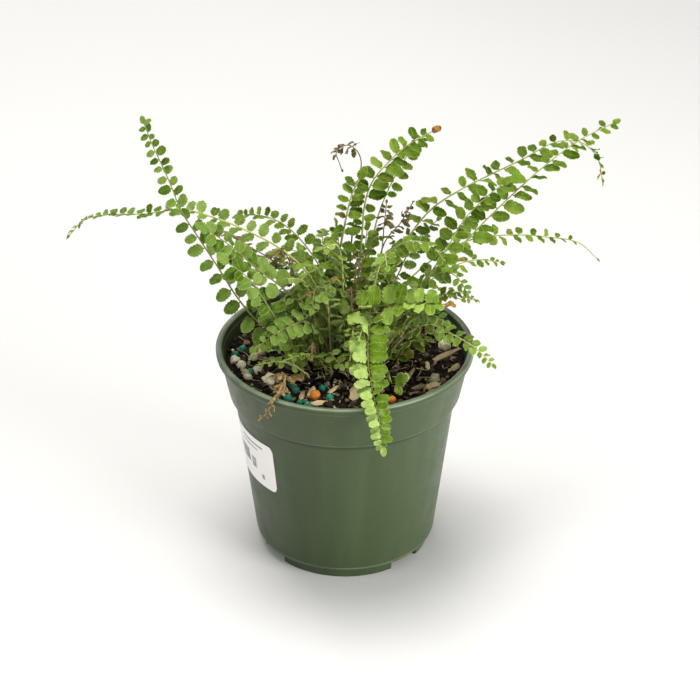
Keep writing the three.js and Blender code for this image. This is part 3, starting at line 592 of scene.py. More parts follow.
def pot_look():
    """Dark green moulded plastic: faint flow streaks, some pale specks of dust, a fine satin grain, painted
    highlights along its edges and a painted shadow line under the band.
    """
    look = Look("pot_plastic", Specular_IOR_Level=0.4)
    streaks = look.noise(90, 4, look.stretched((1, 1, 0.08)))
    base = look.mix(look.noise(26, 3), (0.027, 0.046, 0.0135), (0.037, 0.060, 0.019))
    base = look.mix(look.ramp(streaks, 0.42, 0.72, 0, 0.35), base, (0.058, 0.088, 0.036))
    height = look.split(look.place())[2]
    # Painted highlights: pale lines on the lip, the band's foot, the rim and the body's foot, where light
    # would catch these edges
    for z, reach, amount in EDGE_HIGHLIGHTS:
        near = look.ramp(abs(height - z * MM), reach * MM, 0)
        edge_highlight = near * look.ramp(look.noise(60, 3), 0.3, 0.6, 0.4, 1) * amount
        base = look.mix(edge_highlight, base, (0.3, 0.36, 0.24))
    # Painted shade: a dark line on the body just under the band's ledge, where the ledge's shadow falls
    step_shade = look.ramp(abs(height - STEP_SHADE_Z * MM), 1.1 * MM, 0.2 * MM)
    base = look.mix(step_shade * 0.65, base, (0.012, 0.02, 0.008))
    dust = look.ramp(look.cells(210), 0.075, 0.05) * look.ramp(look.noise(34, 2), 0.6, 0.68)
    base = look.mix(dust, base, (0.45, 0.46, 0.38))
    rough = look.ramp(look.noise(140, 4), 0.3, 0.7, 0.36, 0.46)
    grain = look.bump(look.noise(1900, 2), 0.00004, 0.5)
    return look.done(Base_Color=base, Roughness=rough, Normal=look.bump(streaks, 0.00012, 0.35, grain))


def label_look():
    """White film with a few plain grey bars, laid out by height and angle, and a slight waviness."""
    look = Look("label_film", Specular_IOR_Level=0.4)
    across, up, _ = look.value("leaf")

    def within(place, start, end):
        half = (end - start) / 2
        return look.ramp(abs(place - (start + end) / 2), half + BAR_BLUR, half - BAR_BLUR)

    bars = 0.0
    for left, right, low, high in LABEL_BARS:
        bars = look.math("MAXIMUM", bars, within(across, left, right) * within(up, low, high))
    faded = bars * look.ramp(look.noise(420, 3), 0.3, 0.6, 0.55, 0.9)
    paper = look.mix(look.noise(60, 3), (0.84, 0.81, 0.78), (0.9, 0.88, 0.85))
    rough = look.ramp(look.noise(300, 3), 0.3, 0.7, 0.32, 0.48)
    wavy = look.bump(look.noise(120, 2), 0.0002, 0.3)
    return look.done(Base_Color=look.mix(faded, paper, (0.12, 0.12, 0.13)), Roughness=rough, Normal=wavy)


def leaf_look(name, deep, light, margin, stalk, brown=(0.2, 0.08, 0.028), veins=0.7):
    """A frond. The value "leaf" holds a leaflet's place along and across and its tint; "look" holds how
    brown it is, which face it is (1 above, -1 below, 0 for the stalk) and how far up the frond it is."""
    look = Look(name, Subsurface_Weight=0.2, Subsurface_Radius=(0.45, 0.9, 0.12), Subsurface_Scale=0.001,
                Specular_IOR_Level=0.06)
    along, across, tint = look.value("leaf")
    dryness, face, height = look.value("look")
    edge = abs(across)
    blotch = look.ramp(look.noise(420, 4), 0.3, 0.7)
    blade = look.mix(tint * 0.75 + blotch * 0.35, deep, light)
    # Side veins run out and forward from the midrib, each to a notch
    vein = abs(look.math("FRACT", along * 9 - edge * 2.2) - 0.5)
    lines = look.math("MAXIMUM", look.ramp(vein, 0.16, 0.02) * 0.35, look.ramp(edge, 0.12, 0.02))
    blade = look.mix(lines * veins, blade, light)
    rim = look.math("MAXIMUM", look.ramp(edge, 0.86, 1.0), look.ramp(along, 0.95, 1.0))
    blade = look.mix(rim * 0.7, blade, margin)
    underside = [0.6 * a + 0.4 * b for a, b in zip(light, margin)]
    blade = look.mix(look.ramp(face, -0.1, -0.9, 0, 0.6), blade, underside)
    stem = look.mix(look.ramp(height, 0.0, 0.3), (0.10, 0.075, 0.03), stalk)
    surface = look.mix(look.ramp(abs(face), 0.5, 0.1), blade, stem)
    patchy = dryness * look.ramp(look.noise(700, 3), 0.2, 0.6, 0.75, 1.0)
    crumple = look.ramp(look.noise(900, 4), 0.3, 0.7)
    crisp = look.mix(crumple, [0.55 * c for c in brown], [2.1 * c for c in brown])
    rough = look.ramp(look.noise(800, 2), 0.3, 0.7, 0.42, 0.58)
    relief = look.bump(lines * -0.6 + blotch * 0.5, 0.0004, 0.8)
    return look.done(Base_Color=look.mix(patchy, surface, crisp), Roughness=rough, Normal=relief)


def soil_look():
    """Damp peat: nearly black, with brown fibre and fine pale grit."""
    look = Look("soil_peat", Specular_IOR_Level=0.08)
    lumps = look.noise(420, 6, roughness=0.7)
    base = look.mix(look.ramp(lumps, 0.35, 0.7), (0.003, 0.0025, 0.002), (0.02, 0.013, 0.008))
    fibre = look.noise(160, 3, look.stretched((1, 5, 1)))
    base = look.mix(look.ramp(fibre, 0.6, 0.72, 0, 0.6), base, (0.08, 0.055, 0.032))
    base = look.mix(look.ramp(look.cells(900), 0.12, 0.05) * 0.6, base, (0.3, 0.26, 0.2))
    rough = look.ramp(lumps, 0.3, 0.7, 0.75, 1.0)
    return look.done(Base_Color=base, Roughness=rough, Normal=look.bump(lumps, 0.0012, 0.8))


def grain_look(name, dark, light, rough=(0.7, 0.95), scale=700, speck=None, stretch=(1, 1, 1), shine=0.12,
               mottle=0.45):
    """Loose bits. The value "leaf" holds each bit's tint."""
    look = Look(name, Specular_IOR_Level=shine)
    tint = look.value("leaf")[0]
    pattern = look.noise(scale, 4, look.stretched(stretch))
    base = look.mix(tint * 0.65 + pattern * mottle, dark, light)
    if speck:
        base = look.mix(look.ramp(look.noise(scale * 2.5, 2), 0.6, 0.7, 0, 0.7), base, speck)
    rough = look.ramp(pattern, 0.3, 0.7, *rough)
    return look.done(Base_Color=base, Roughness=rough, Normal=look.bump(pattern, 0.0006, 0.6))


# Pot and label


def rounded(corners, steps=5):
    """A profile with rounded corners: each corner is (radius, z, size of its rounding)."""
    points = [np.array(corners[0][:2], float)]
    for before, corner, after in zip(corners, corners[1:], corners[2:]):
        middle, size = np.array(corner[:2], float), corner[2]
        back, ahead = np.array(before[:2]) - middle, np.array(after[:2]) - middle
        size = min(size, np.linalg.norm(back) * 0.45, np.linalg.norm(ahead) * 0.45)
        start, end = middle + unit(back) * size, middle + unit(ahead) * size
        for i in range(steps + 1):
            t = i / steps
            points.append((1 - t) ** 2 * start + 2 * t * (1 - t) * middle + t * t * end)
    points.append(np.array(corners[-1][:2], float))
    return points


# From the middle of the floor, round the foot and the rim, and back inside
POT_PROFILE = [
    (0, 0, 0),
    (GATE_RADIUS, 0, 0.3),
    (GATE_RADIUS + 0.6, FLOOR_UNDERSIDE_Z, 0.4),
    (FOOT_INSIDE, FLOOR_UNDERSIDE_Z, 0.4),
    (FOOT_INSIDE, 0, 0.4),
    (FOOT_RADIUS - 0.4, 0, 0.6),
    (FOOT_RADIUS, FOOT_HEIGHT, 0.4),
    (BODY_BOTTOM_RADIUS - 0.6, FOOT_HEIGHT + 0.5, 0.8),
    (BODY_BOTTOM_RADIUS, BODY_BOTTOM_Z, 1.0),
    (BODY_TOP_RADIUS, BAND_BOTTOM_Z, 0.35),
    (BAND_BOTTOM_RADIUS - 0.1, BAND_BOTTOM_Z + 0.3, 0.5),
    (BAND_TOP_RADIUS, LIP_Z, 0.4),
    (RIM_RADIUS - 0.3, LIP_Z + 0.3, 0.6),
    (RIM_RADIUS, POT_HEIGHT, 1.4),
    (RIM_RADIUS - LIP_WIDTH, POT_HEIGHT, 1.0),
    (BAND_TOP_RADIUS - WALL - 0.2, LIP_Z, 0.8),
    (BAND_BOTTOM_RADIUS - WALL, BAND_BOTTOM_Z + 1.2, 0.8),
    (BODY_TOP_RADIUS - WALL, STEP_Z, 0.8),
    (BODY_BOTTOM_RADIUS - WALL, BODY_BOTTOM_Z + 0.6, 1.2),
    (BODY_BOTTOM_RADIUS - 2 * WALL, FLOOR_TOP_Z, 1.2),
    (0, FLOOR_TOP_Z, 0),
]


def turned(profile, sides):
    """A closed surface of revolution from a profile that starts and ends on the axis, as a bmesh."""
    bm = bmesh.new()
    first, last = (bm.verts.new((0, 0, profile[end][1] * MM)) for end in (0, -1))
    rows = []
    for radius, z in profile[1:-1]:
        row = [bm.verts.new(around(360 * i / sides, radius, z) * MM) for i in range(sides)]
        rows.append([*row, row[0]])
    for face in strips(rows):
        bm.faces.new(face)
    for i in range(sides):
        bm.faces.new((first, rows[0][i + 1], rows[0][i]))
        bm.faces.new((rows[-1][i], rows[-1][i + 1], last))
    return bm


def notch_cutter(angle):
    """A curved block that cuts one gap in the foot ring."""
    bm = bmesh.new()
    turns = [angle + NOTCH_SPAN * (i / NOTCH_STEPS - 0.5) for i in range(NOTCH_STEPS + 1)]
    low_in, low_out, high_in, high_out = (
        [bm.verts.new(around(turn, radius, z) * MM) for turn in turns]
        for z in (-1, FOOT_HEIGHT - 0.6) for radius in (FOOT_INSIDE - 1.5, FOOT_RADIUS + 1)
    )
    ends = [(low_in[i], low_out[i], high_out[i], high_in[i]) for i in (0, -1)]
    for face in strips([low_in, low_out, high_out, high_in, low_in]) + ends:
        bm.faces.new(face)
    return bm


def drain_cutter(angle):
    bm = bmesh.new()
    centre = Vector(around(angle, DRAIN_CIRCLE, FLOOR_TOP_Z) * MM)
    bmesh.ops.create_cone(
        bm, cap_ends=True, segments=DRAIN_SIDES, radius1=DRAIN_RADIUS * MM, radius2=DRAIN_RADIUS * MM,
        depth=DRAIN_DEPTH * MM, matrix=Matrix.Translation(centre),
    )
    return bm


def cut(bm, cutters):
    """Takes the cutters, each a bmesh, out of bm, and returns the mesh that is left."""
    objects = []
    for i, shape in enumerate([bm, *cutters]):
        mesh = bpy.data.meshes.new(f"cut_{i}")
        bmesh.ops.recalc_face_normals(shape, faces=shape.faces)
        shape.to_mesh(mesh)
        shape.free()
        objects.append(add_object(f"cut_{i}", mesh))
    body = objects[0]
    for cutter in objects[1:]:
        modifier = body.modifiers.new("cut", "BOOLEAN")
        modifier.operation = "DIFFERENCE"
        modifier.object = cutter
        modifier.solver = "EXACT"
    bpy.context.view_layer.update()
    left = bpy.data.meshes.new_from_object(body.evaluated_get(bpy.context.evaluated_depsgraph_get()))
    for made in objects:
        bpy.data.objects.remove(made)
    return left


def make_pot():
    cutters = [cutter(angle) for angle in NOTCH_ANGLES for cutter in (notch_cutter, drain_cutter)]
    mesh = cut(turned(rounded(POT_PROFILE), POT_SIDES), cutters)
    pot = finish_piece(mesh, "pot_smooth", pot_look(), sharp_angle=40)
    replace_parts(pot, "pot")


def outline(rows):
    """The points round the edge of a grid, and the first of them again."""
    right, left = [row[-1] for row in rows[:-1]], [row[0] for row in rows[:0:-1]]
    return [*rows[0][:-1], *right, *rows[-1][:0:-1], *left, rows[0][0]]


def make_label():
    """A thin curved film with rounded corners."""
    middle_z = (LABEL_BOTTOM_Z + LABEL_TOP_Z) / 2
    half_height = (LABEL_TOP_Z - LABEL_BOTTOM_Z) / 2
    arc = math.radians(LABEL_TO - LABEL_FROM) * body_radius(middle_z)
    points = []
    places = []
    for lift, i in product((LABEL_LIFT, LABEL_LIFT + LABEL_THICKNESS), range(LABEL_COLUMNS + 1)):
        share = i / LABEL_COLUMNS
        inset = max(LABEL_CORNER - min(share, 1 - share) * arc, 0)
        trim = LABEL_CORNER - math.sqrt(LABEL_CORNER**2 - inset**2)
        angle = LABEL_FROM + share * (LABEL_TO - LABEL_FROM)
        for k in range(LABEL_ROWS + 1):
            z = middle_z + (2 * k / LABEL_ROWS - 1) * (half_height - trim)
            points.append(around(angle, body_radius(z) + lift, z))
            places.append((share, (z - LABEL_BOTTOM_Z) / (2 * half_height), 0))
    grid = np.arange(len(points)).reshape(2, LABEL_COLUMNS + 1, LABEL_ROWS + 1)
    under, over = grid.swapaxes(1, 2).tolist()
    builder = Builder()
    faces = strips(over) + strips(under[::-1]) + strips([outline(under), outline(over)])
    builder.add(np.array(points), faces, leaf=np.array(places))
    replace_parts(builder.make("label_film", label_look(), "label"), "label")


# Soil and what lies in it


def make_soil():
    """The root ball: it follows the pot's inner wall, under a rough top."""
    edge_share = (SOIL_EDGE_Z - BAND_BOTTOM_Z - 1.2) / (LIP_Z - BAND_BOTTOM_Z - 1.2)
    edge = BAND_BOTTOM_RADIUS + edge_share * (BAND_TOP_RADIUS - BAND_BOTTOM_RADIUS) - WALL - SOIL_GAP
    sides = [
        (BODY_BOTTOM_RADIUS - 2 * WALL - SOIL_GAP - 0.3, FLOOR_TOP_Z + SOIL_GAP),
        (BODY_BOTTOM_RADIUS - WALL - SOIL_GAP - 0.3, BODY_BOTTOM_Z + 1),
        (BODY_TOP_RADIUS - WALL - SOIL_GAP - 0.2, STEP_Z),
        (BAND_BOTTOM_RADIUS - WALL - SOIL_GAP - 0.4, BAND_BOTTOM_Z + 2),
    ]
    turns = [360 * i / SOIL_SIDES for i in range(SOIL_SIDES)]
    points = [around(turn, radius, z) for radius, z in sides for turn in turns]
    points += [on_soil(turn, edge * k / SOIL_RINGS) for k in range(SOIL_RINGS, 0, -1) for turn in turns]
    points += [(0, 0, rough_soil(0, 0)), (0, 0, FLOOR_TOP_Z + SOIL_GAP)]
    top, bottom = len(points) - 2, len(points) - 1
    rows = rings(len(sides) + SOIL_RINGS, SOIL_SIDES)
    faces = strips(rows)
    faces += [(a, b, top) for a, b in zip(rows[-1], rows[-1][1:])]
    faces += [(b, a, bottom) for a, b in zip(rows[0], rows[0][1:])]
    builder = Builder()
    builder.add(np.array(points), faces)
    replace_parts(builder.make("soil_rough", soil_look(), "soil", sharp_angle=180), "soil")


def sphere_shape(divisions):
    bm = bmesh.new()
    bmesh.ops.create_icosphere(bm, subdivisions=divisions, radius=1)
    points = np.array([v.co for v in bm.verts])
    faces = [tuple(v.index for v in f.verts) for f in bm.faces]
    bm.free()
    return points, faces


SHAPES = {k: sphere_shape(k) for k in (1, 2, 3)}


def add_lump(builder, draw, centre, size, tint, detail, roughness, squash=(1, 1, 1), turn=None):
    """A rough pebble: size is its radius, and squash its shares of that along its own axes."""
    points, faces = SHAPES[detail]
    shift = Vector((draw(-50, 50), draw(-50, 50), draw(-50, 50)))
    swell = np.array([1 + roughness * noise.fractal(Vector(p) * 1.3 + shift, 0.7, 2.1, 3) for p in points])
    shaped = points * swell[:, None] * size * np.array(squash)
    turn = turn or (draw(-25, 25), draw(-25, 25), draw(0, 360))
    rotation = Matrix.Identity(3)
    for axis, angle in zip("ZYX", turn[::-1]):
        rotation = rotation @ Matrix.Rotation(math.radians(angle), 3, axis)
    builder.add(shaped @ np.array(rotation).T + centre, faces, leaf=(tint, 0, 0))


def add_strand(builder, draw, here, heading, length, radius, tint, rise=0.0):
    """A thin fibre that lies on the soil, or rises from it, bending as it goes."""
    points = []
    for i in range(STRAND_STEPS):
        points.append(here)
        heading += draw(-STRAND_BEND, STRAND_BEND) / STRAND_STEPS
        lift = rise * length / STRAND_STEPS * (1 - 0.9 * i / STRAND_STEPS) + draw(-0.1, 0.1)
        here = here + around(heading, length / STRAND_STEPS, lift)
    radii = [radius * (1 - 0.6 * i / (STRAND_STEPS - 1)) for i in range(STRAND_STEPS)]
    builder.add(*tube(points, radii, STRAND_SIDES), leaf=(tint, 0, 0))


def placed_grains(draw, spots, sunk, roughness):
    """Grains at given spots, each partly in the soil."""
    for x, y, radius in spots:
        yield (x, y, soil_height(x, y) + radius * sunk), radius, draw(0, 1), 3, roughness


def perlite_grains(draw):
    yield from placed_grains(draw, PERLITE, 0.2, 0.35)
    for _ in range(SMALL_PERLITE):
        p = on_soil(draw(0, 360), 48.5 * math.sqrt(draw(0.05, 1)))
        size = draw(0.22, 0.5) + draw(0, 0.7) ** 3
        yield p + (0, 0, size * 0.3), size, draw(0, 1), 2, 0.4


def bark_chips(draw):
    chips = list(BARK)
    for _ in range(SMALL_BARK):
        p = around(draw(0, 360), draw(20, 47))
        chips.append((p[0], p[1], draw(2.5, 8), draw(1, 2.6), draw(0, 180)))
    for x, y, length, width, turn in chips:
        shares = (1, width / length, draw(0.5, 0.8) * width / length)
        lie = (draw(-12, 12), draw(-7, 7), turn)
        yield (x, y, rough_soil(x, y) + 0.7), length / 2, draw(0.1, 1.3), 2, 0.35, shares, lie


def soil_crumbs(draw):
    for _ in range(CRUMBS):
        p = on_soil(draw(0, 360), 49 * math.sqrt(draw(0, 1)))
        size = draw(0.35, 1.0) ** 1.6 * 1.7
        shares = (1, draw(0.5, 1), draw(0.35, 0.8))
        yield p + (0, 0, size * 0.35), size, 1.6 * draw(0, 1) ** 5, 1, 0.5, shares


def make_fibres(draw):
    """Fine roots and old leaf bases: most lie flat, and some stand round the crown."""
    builder = Builder()
    for _ in range(LYING_FIBRES):
        p = on_soil(draw(0, 360), 47 * math.sqrt(draw(0.1, 1))) + (0, 0, 0.5)
        add_strand(builder, draw, p, draw(0, 360), draw(3, 12), draw(0.12, 0.32), draw(0, 1))
    for _ in range(STANDING_FIBRES):
        angle = draw(0, 360)
        p = on_soil(angle, 23 * math.sqrt(draw(0, 1))) - (0, 0, 0.3)
        add_strand(builder, draw, p, angle + draw(-60, 60), draw(3, 11), draw(0.12, 0.4), draw(0, 1),
                   draw(0.4, 2.2))
    look = grain_look("fibres", (0.07, 0.045, 0.025), (0.68, 0.53, 0.3), stretch=(1, 1, 2))
    builder.make("fibres", look, "soil", sharp_angle=180)


def make_grains():
    """Fertiliser beads, perlite, bark, crumbs and fibres that lie in the soil's top."""
    draw = make_random(GRAIN_SEED)
    bead = dict(rough=(0.3, 0.5), scale=500, shine=0.4)
    speckled = dict(speck=(0.12, 0.09, 0.04))
    crumb = dict(scale=900, mottle=0.1)
    for name, lumps, sharp_angle, dark, light, more in (
        ("beads_green", placed_grains(draw, GREEN_BEADS, 0.25, 0.05), 180,
         (0.0, 0.08, 0.05), (0.005, 0.22, 0.135), bead),
        ("beads_orange", placed_grains(draw, ORANGE_BEADS, 0.25, 0.05), 180,
         (0.55, 0.16, 0.015), (0.9, 0.36, 0.05), bead),
        ("perlite", perlite_grains(draw), 180, (0.34, 0.29, 0.17), (0.9, 0.82, 0.6), speckled),
        ("bark", bark_chips(draw), 35, (0.06, 0.043, 0.025), (0.74, 0.58, 0.32), dict(stretch=(1, 1, 3))),
        ("crumbs", soil_crumbs(draw), 30, (0.004, 0.003, 0.002), (0.3, 0.22, 0.13), crumb),
    ):
        builder = Builder()
        for lump in lumps:
            add_lump(builder, draw, *lump)
        builder.make(name, grain_look(name, dark, light, **more), "soil", sharp_angle)
    make_fibres(draw)


# Room

claims = {}


def cell_of(point):
    return tuple(math.floor(value / CELL) for value in point)


def claim(points, radius, stalk):
    for p in points:
        claims.setdefault(cell_of(p), []).append((*p, radius, stalk))


def hits_pot_or_soil(p, radius):
    r = math.hypot(p[0], p[1])
    if p[2] > POT_HEIGHT + radius + SOIL_GAP or r > RIM_RADIUS + radius + SOIL_GAP:
        return False
    if r > BAND_BOTTOM_RADIUS - WALL - radius:
        return True
    return p[2] < soil_height(p[0], p[1]) + radius + SOIL_CLEARANCE


def is_taken(points, radius, own_stalk):
    for p in points:
        if hits_pot_or_soil(p, radius):
            return True
        for cell in product(*((i - 1, i, i + 1) for i in cell_of(p))):
            for x, y, z, other, stalk in claims.get(cell, ()):
                near = radius + other
                if stalk != own_stalk and (p[0] - x) ** 2 + (p[1] - y) ** 2 + (p[2] - z) ** 2 < near * near:
                    return True
    return False


# Stalks


def smooth_curve(points):
    """A centripetal Catmull-Rom curve through the points."""
    padded = np.vstack([2 * points[0] - points[1], points, 2 * points[-1] - points[-2]])
    out = []
    for p0, p1, p2, p3 in zip(padded, padded[1:], padded[2:], padded[3:]):
        d0, d1, d2 = (math.sqrt(np.linalg.norm(b - a)) for a, b in ((p0, p1), (p1, p2), (p2, p3)))
        start = ((p1 - p0) / d0 - (p2 - p0) / (d0 + d1) + (p2 - p1) / d1) * d1
        end = ((p2 - p1) / d1 - (p3 - p1) / (d1 + d2) + (p3 - p2) / d2) * d1
        t = np.linspace(0, 1, CURVE_STEPS, endpoint=False)[:, None]
        square, cube = t * t, t * t * t
        out.append(
            (2 * cube - 3 * square + 1) * p1 + (cube - 2 * square + t) * start
            + (3 * square - 2 * cube) * p2 + (cube - square) * end
        )
    return np.vstack([*out, points[-1:]])


class Stalk:
    """The smooth curve of one stalk: down in its hole, out of the soil, and through its route."""

    def __init__(self, base, route):
        x, y = base
        soil = float(soil_height(x, y))
        buried = [(x, y, soil - HOLE_DEPTH + SOIL_GAP), (x, y, soil + STALK_RISE)]
        self.points = smooth_curve(np.array([*buried, *route], float))
        steps = np.linalg.norm(np.diff(self.points, axis=0), axis=1)
        self.lengths = np.concatenate([[0], np.cumsum(steps)])
        self.total = self.lengths[-1]
        self.tangents = np.gradient(self.points, self.lengths, axis=0)
        self.tangents /= np.linalg.norm(self.tangents, axis=1)[:, None]
        self.normals = self.carried()

    def carried(self):
        """Normals that travel up the stalk without twisting, and first look back at the crown."""
        normal = -unit((self.points[-1] - self.points[0]) * (1, 1, 0))
        normals = []
        for along in self.tangents:
            normal = square_to(normal, along)
            normals.append(normal)
        return np.array(normals)

    def read(self, values, lengths):
        return np.stack([np.interp(lengths, self.lengths, values[:, k]) for k in range(3)], axis=-1)

    def frame_at(self, length, roll):
        """The point, its direction, and the blade's face and side there."""
        point, along, normal = (self.read(v, length) for v in (self.points, self.tangents, self.normals))
        along = unit(along)
        normal = square_to(normal, along)
        face, _ = turn_pair(normal, np.cross(along, normal), roll)
        return point, along, face, np.cross(along, face)

    def room(self, leaf):
        """Points along the stalk outside the soil, and along its tip leaflet."""
        count = math.ceil(self.total / STALK_ROOM_STEP)
        spaced = self.read(self.points, np.linspace(0, self.total, count + 1))
        tip = [self.points[-1] + self.tangents[-1] * share * TIP_LEAF * leaf for share in TIP_ROOM]
        return [p for p in [*spaced, *tip] if p[2] > soil_height(p[0], p[1]) + STALK_ROOM_ABOVE_SOIL]


# Leaflets


def leaf_rows():
    """How far along each row lies, and how much of the full width it has."""
    rows = [(0, 1)]
    for tooth in range(LEAF_TEETH):
        for step, width in ((0, LEAF_NOTCH), (0.3, 1), (0.75, 1)):
            share = (tooth + step) / LEAF_TEETH
            rows.append((LEAF_FIRST_TOOTH + share * (1 - LEAF_FIRST_TOOTH), width))
    return np.array([*rows, (1, 1)])


LEAF_ROWS = leaf_rows()
TOP_SIZE = len(LEAF_ROWS) * len(LEAF_TOP_COLUMNS)


def leaf_faces():
    """A leaflet's top and right edge by columns, its left edge and underside by rows, and its two ends."""
    top = np.arange(TOP_SIZE).reshape(len(LEAF_ROWS), -1)
    under = TOP_SIZE + np.arange(len(LEAF_ROWS) * len(LEAF_UNDER_COLUMNS)).reshape(len(LEAF_ROWS), -1)
    over_columns = [*top.T.tolist(), under[:, -1].tolist()]
    under_rows = np.hstack([top[:, :1], under]).tolist()
    base, tip = ([*top[row].tolist(), *under[row, ::-1].tolist()] for row in (0, -1))
    return [*strips(over_columns), *strips(under_rows), base, tip[::-1]]


LEAF_FACES = leaf_faces()


def leaf_outline(columns, blunt, toothed, hand):
    """Half widths of a leaflet at each row and column, as shares of its full width."""
    u, v = LEAF_ROWS[:, :1], columns[None, :]
    body = np.clip((u - LEAF_FIRST_TOOTH) / (1 - LEAF_FIRST_TOOTH), 0, 1)
    bow = np.clip(1 - np.abs(2 * body - 1) ** blunt, 0, 1) ** 0.55
    half = np.maximum(0.5 * bow * (1 - 0.1 * body), 0.05)
    half[-1] = 0.13
    half = half * np.where(np.abs(v) == 1, 1 - toothed * (1 - LEAF_ROWS[:, 1:]), 1)
    return half * (1 + LEAF_EAR * hand * np.sign(v) * np.exp(-(((body - 0.2) / 0.16) ** 2)))


class Leaflet:
    """One leaflet: its reach and width, its shape (cup, curl, blunt, toothed), how it hangs on its stalk
    (lean, tilt, twist, level, root; angles in degrees), its tint and its dryness."""

    def __init__(self, **settings):
        vars(self).update(settings)

    def axes(self, frame_here, hand, bend):
        _, along, face, side = frame_here
        out, normal = turn_pair(side * hand, face, self.tilt + bend)
        axis, _ = turn_pair(out, along, self.lean)
        # Leaflets twist to face the light, so a blade turns part of the way to the level
        normal = unit(normal * (1 - self.level) + np.array([0, 0, self.level]))
        axis = square_to(axis, normal)
        return axis, *turn_pair(np.cross(normal, axis), normal, self.twist)

    def put(self, builder, frame_here, hand, stalk_radius, stalk, height, checked=True):
        """Adds the leaflet where it is clear of the others, bent or shortened if need be."""
        point, _, _, side = frame_here
        root = point + side * hand * stalk_radius * self.root
        for scale, bend in LEAF_TRIES if checked else LEAF_TRIES[:1]:
            axis, across, normal = self.axes(frame_here, hand, bend)
            reach, width = self.reach * scale, self.width * scale
            room = [root + axis * u * reach + across * v * width - normal * self.cup * u * u * reach
                    for u, v in LEAF_ROOM]
            if not checked or not is_taken(room, LEAF_CLEARANCE, stalk):
                claim(room, LEAF_CLEARANCE, "leaflet")
                self.grow(builder, (root, axis, across, normal), hand, reach, width, height)
                return

    def grow(self, builder, placing, hand, reach, width, height):
        root, axis, across, normal = placing
        for face, columns in ((1, LEAF_TOP_COLUMNS), (-1, LEAF_UNDER_COLUMNS)):
            half = leaf_outline(columns, self.blunt, self.toothed, hand) * width
            u, v = np.broadcast_arrays(LEAF_ROWS[:, :1], columns[None, :])
            sideways = v * half
            lift = LEAF_FOLD * np.abs(sideways) - self.cup * u**2 * reach - self.curl * v**2 * half
            lift = lift + LEAF_WAVE * reach * np.sin(9 * u + 5 * self.tint) * v * v * (1 + self.dryness * 2)
            if face < 0:
                lift = lift - LEAF_THICKNESS + LEAF_EDGE_THINNER * np.abs(v)
            points = (root + u[..., None] * reach * axis + sideways[..., None] * across
                      + lift[..., None] * normal)
            place = np.stack([u, v, np.full(u.shape, self.tint)], -1).reshape(-1, 3)
            # Both layers go in before the faces that join them
            builder.add(points.reshape(-1, 3), LEAF_FACES if face < 0 else [], back=TOP_SIZE,
                        leaf=place, look=(self.dryness, face, height))


# Fronds


def pair_positions(kind, total):
    """Each pair's place on the stalk, and its share of the leafy part."""
    first = kind.bare * total
    end = total - kind.tip_bare
    s = first
    while s < end:
        t = (s - first) / (end - first)
        yield s, t
        s += kind.spacing * (1 - kind.crowding * t**1.6)


def leaflet_for(kind, t, hand, draw):
    rising = kind.base_size + (1 - kind.base_size) * min(1, t / 0.2)
    falling = 1 - (1 - kind.tip_size) * max(0, (t - kind.full_to) / (1 - kind.full_to)) ** kind.fall
    size = kind.leaf * rising * falling * (1 + draw(-0.13, 0.1) * kind.wild)
    dryness = max(kind.dryness, kind.chance_dry * max(0, draw(-13, 0.8)) ** 1.5)
    loose = kind.wild + 2.4 * dryness
    return Leaflet(
        reach=size,
        width=size * kind.ratio * draw(0.92, 1.08) * (1 - 0.35 * dryness),
        lean=kind.lean + kind.lean_side * hand + 16 * t + draw(-12, 12) * loose,
        tilt=kind.tilt + draw(-14, 14) * loose,
        cup=LEAF_CUP + draw(-0.06, 0.14) + draw(0.2, 1.1) * dryness,
        curl=draw(-0.05, 0.35) + draw(0.3, 1.2) * dryness,
        twist=draw(-22, 22) * loose,
        level=kind.level * draw(0.6, 1.3),
        # Painted sheen: the leaflets on one hand are tinted lighter, as if light glanced off that half of
        # the blade
        tint=draw(*kind.tints) + kind.pale_side * hand,
        dryness=dryness, blunt=kind.blunt, root=kind.root, toothed=kind.toothed,
    )


def stalk_radius(share):
    return STALK_RADIUS + (STALK_TIP_RADIUS - STALK_RADIUS) * share


def grow_frond(kind, stalk, seed, looks):
    draw = make_random(seed)
    builder = Builder()
    lengths = np.linspace(0, stalk.total, max(FEWEST_RINGS, round(stalk.total / STALK_STEP)))
    shares = lengths / stalk.total
    centres, tangents = stalk.read(stalk.points, lengths), stalk.read(stalk.tangents, lengths)
    points, faces = tube(centres, stalk_radius(shares) * kind.stem, STALK_SIDES, tangents)
    heights = np.repeat(shares, STALK_SIDES)
    builder.add(points, faces, look=np.stack([heights * 0 + kind.dryness, heights * 0, heights], -1))
    for s, t in pair_positions(kind, stalk.total):
        share = s / stalk.total
        for hand in (1, -1):
            offset = (draw(-0.1, 0.1) + PAIR_STAGGER * hand) * kind.spacing * (1 - kind.crowding * t)
            roll = kind.roll if kind.roll_to is None else kind.roll + t * (kind.roll_to - kind.roll)
            here = stalk.frame_at(min(s + offset, stalk.total), roll)
            leaflet_for(kind, t, hand, draw).put(builder, here, hand, stalk_radius(share), kind.name, share)
    point, along, face, side = stalk.frame_at(stalk.total, kind.roll)
    size = kind.leaf * kind.tip_size * TIP_GROWTH
    tip = Leaflet(
        reach=size, width=size * 0.7, lean=90, tilt=0, cup=0.1, curl=0.2, twist=0, level=0,
        tint=draw(0.3, 0.9), dryness=max(kind.dryness, kind.tip_dryness), blunt=2.5, root=0, toothed=1.0,
    )
    tip.put(builder, (point - along * TIP_OVERLAP, along, face, side), 1, 0, kind.name, 1, checked=False)
    return builder.make("leafy_" + kind.name, looks[kind.tone], "frond_" + TONES[kind.tone][0])


def arch(start, angle, reach, turn, rise, passes, ground=soil_height):
    """A route out from start: each pass is the share of its reach, of its rise and of its turn."""
    route = []
    for out, high, turned_share in passes:
        p = around(angle + turn * turned_share, reach * out) + start
        p[2] = ground(p[0], p[1]) + ARCH_FOOT + rise * high
        route.append(p)
    return route


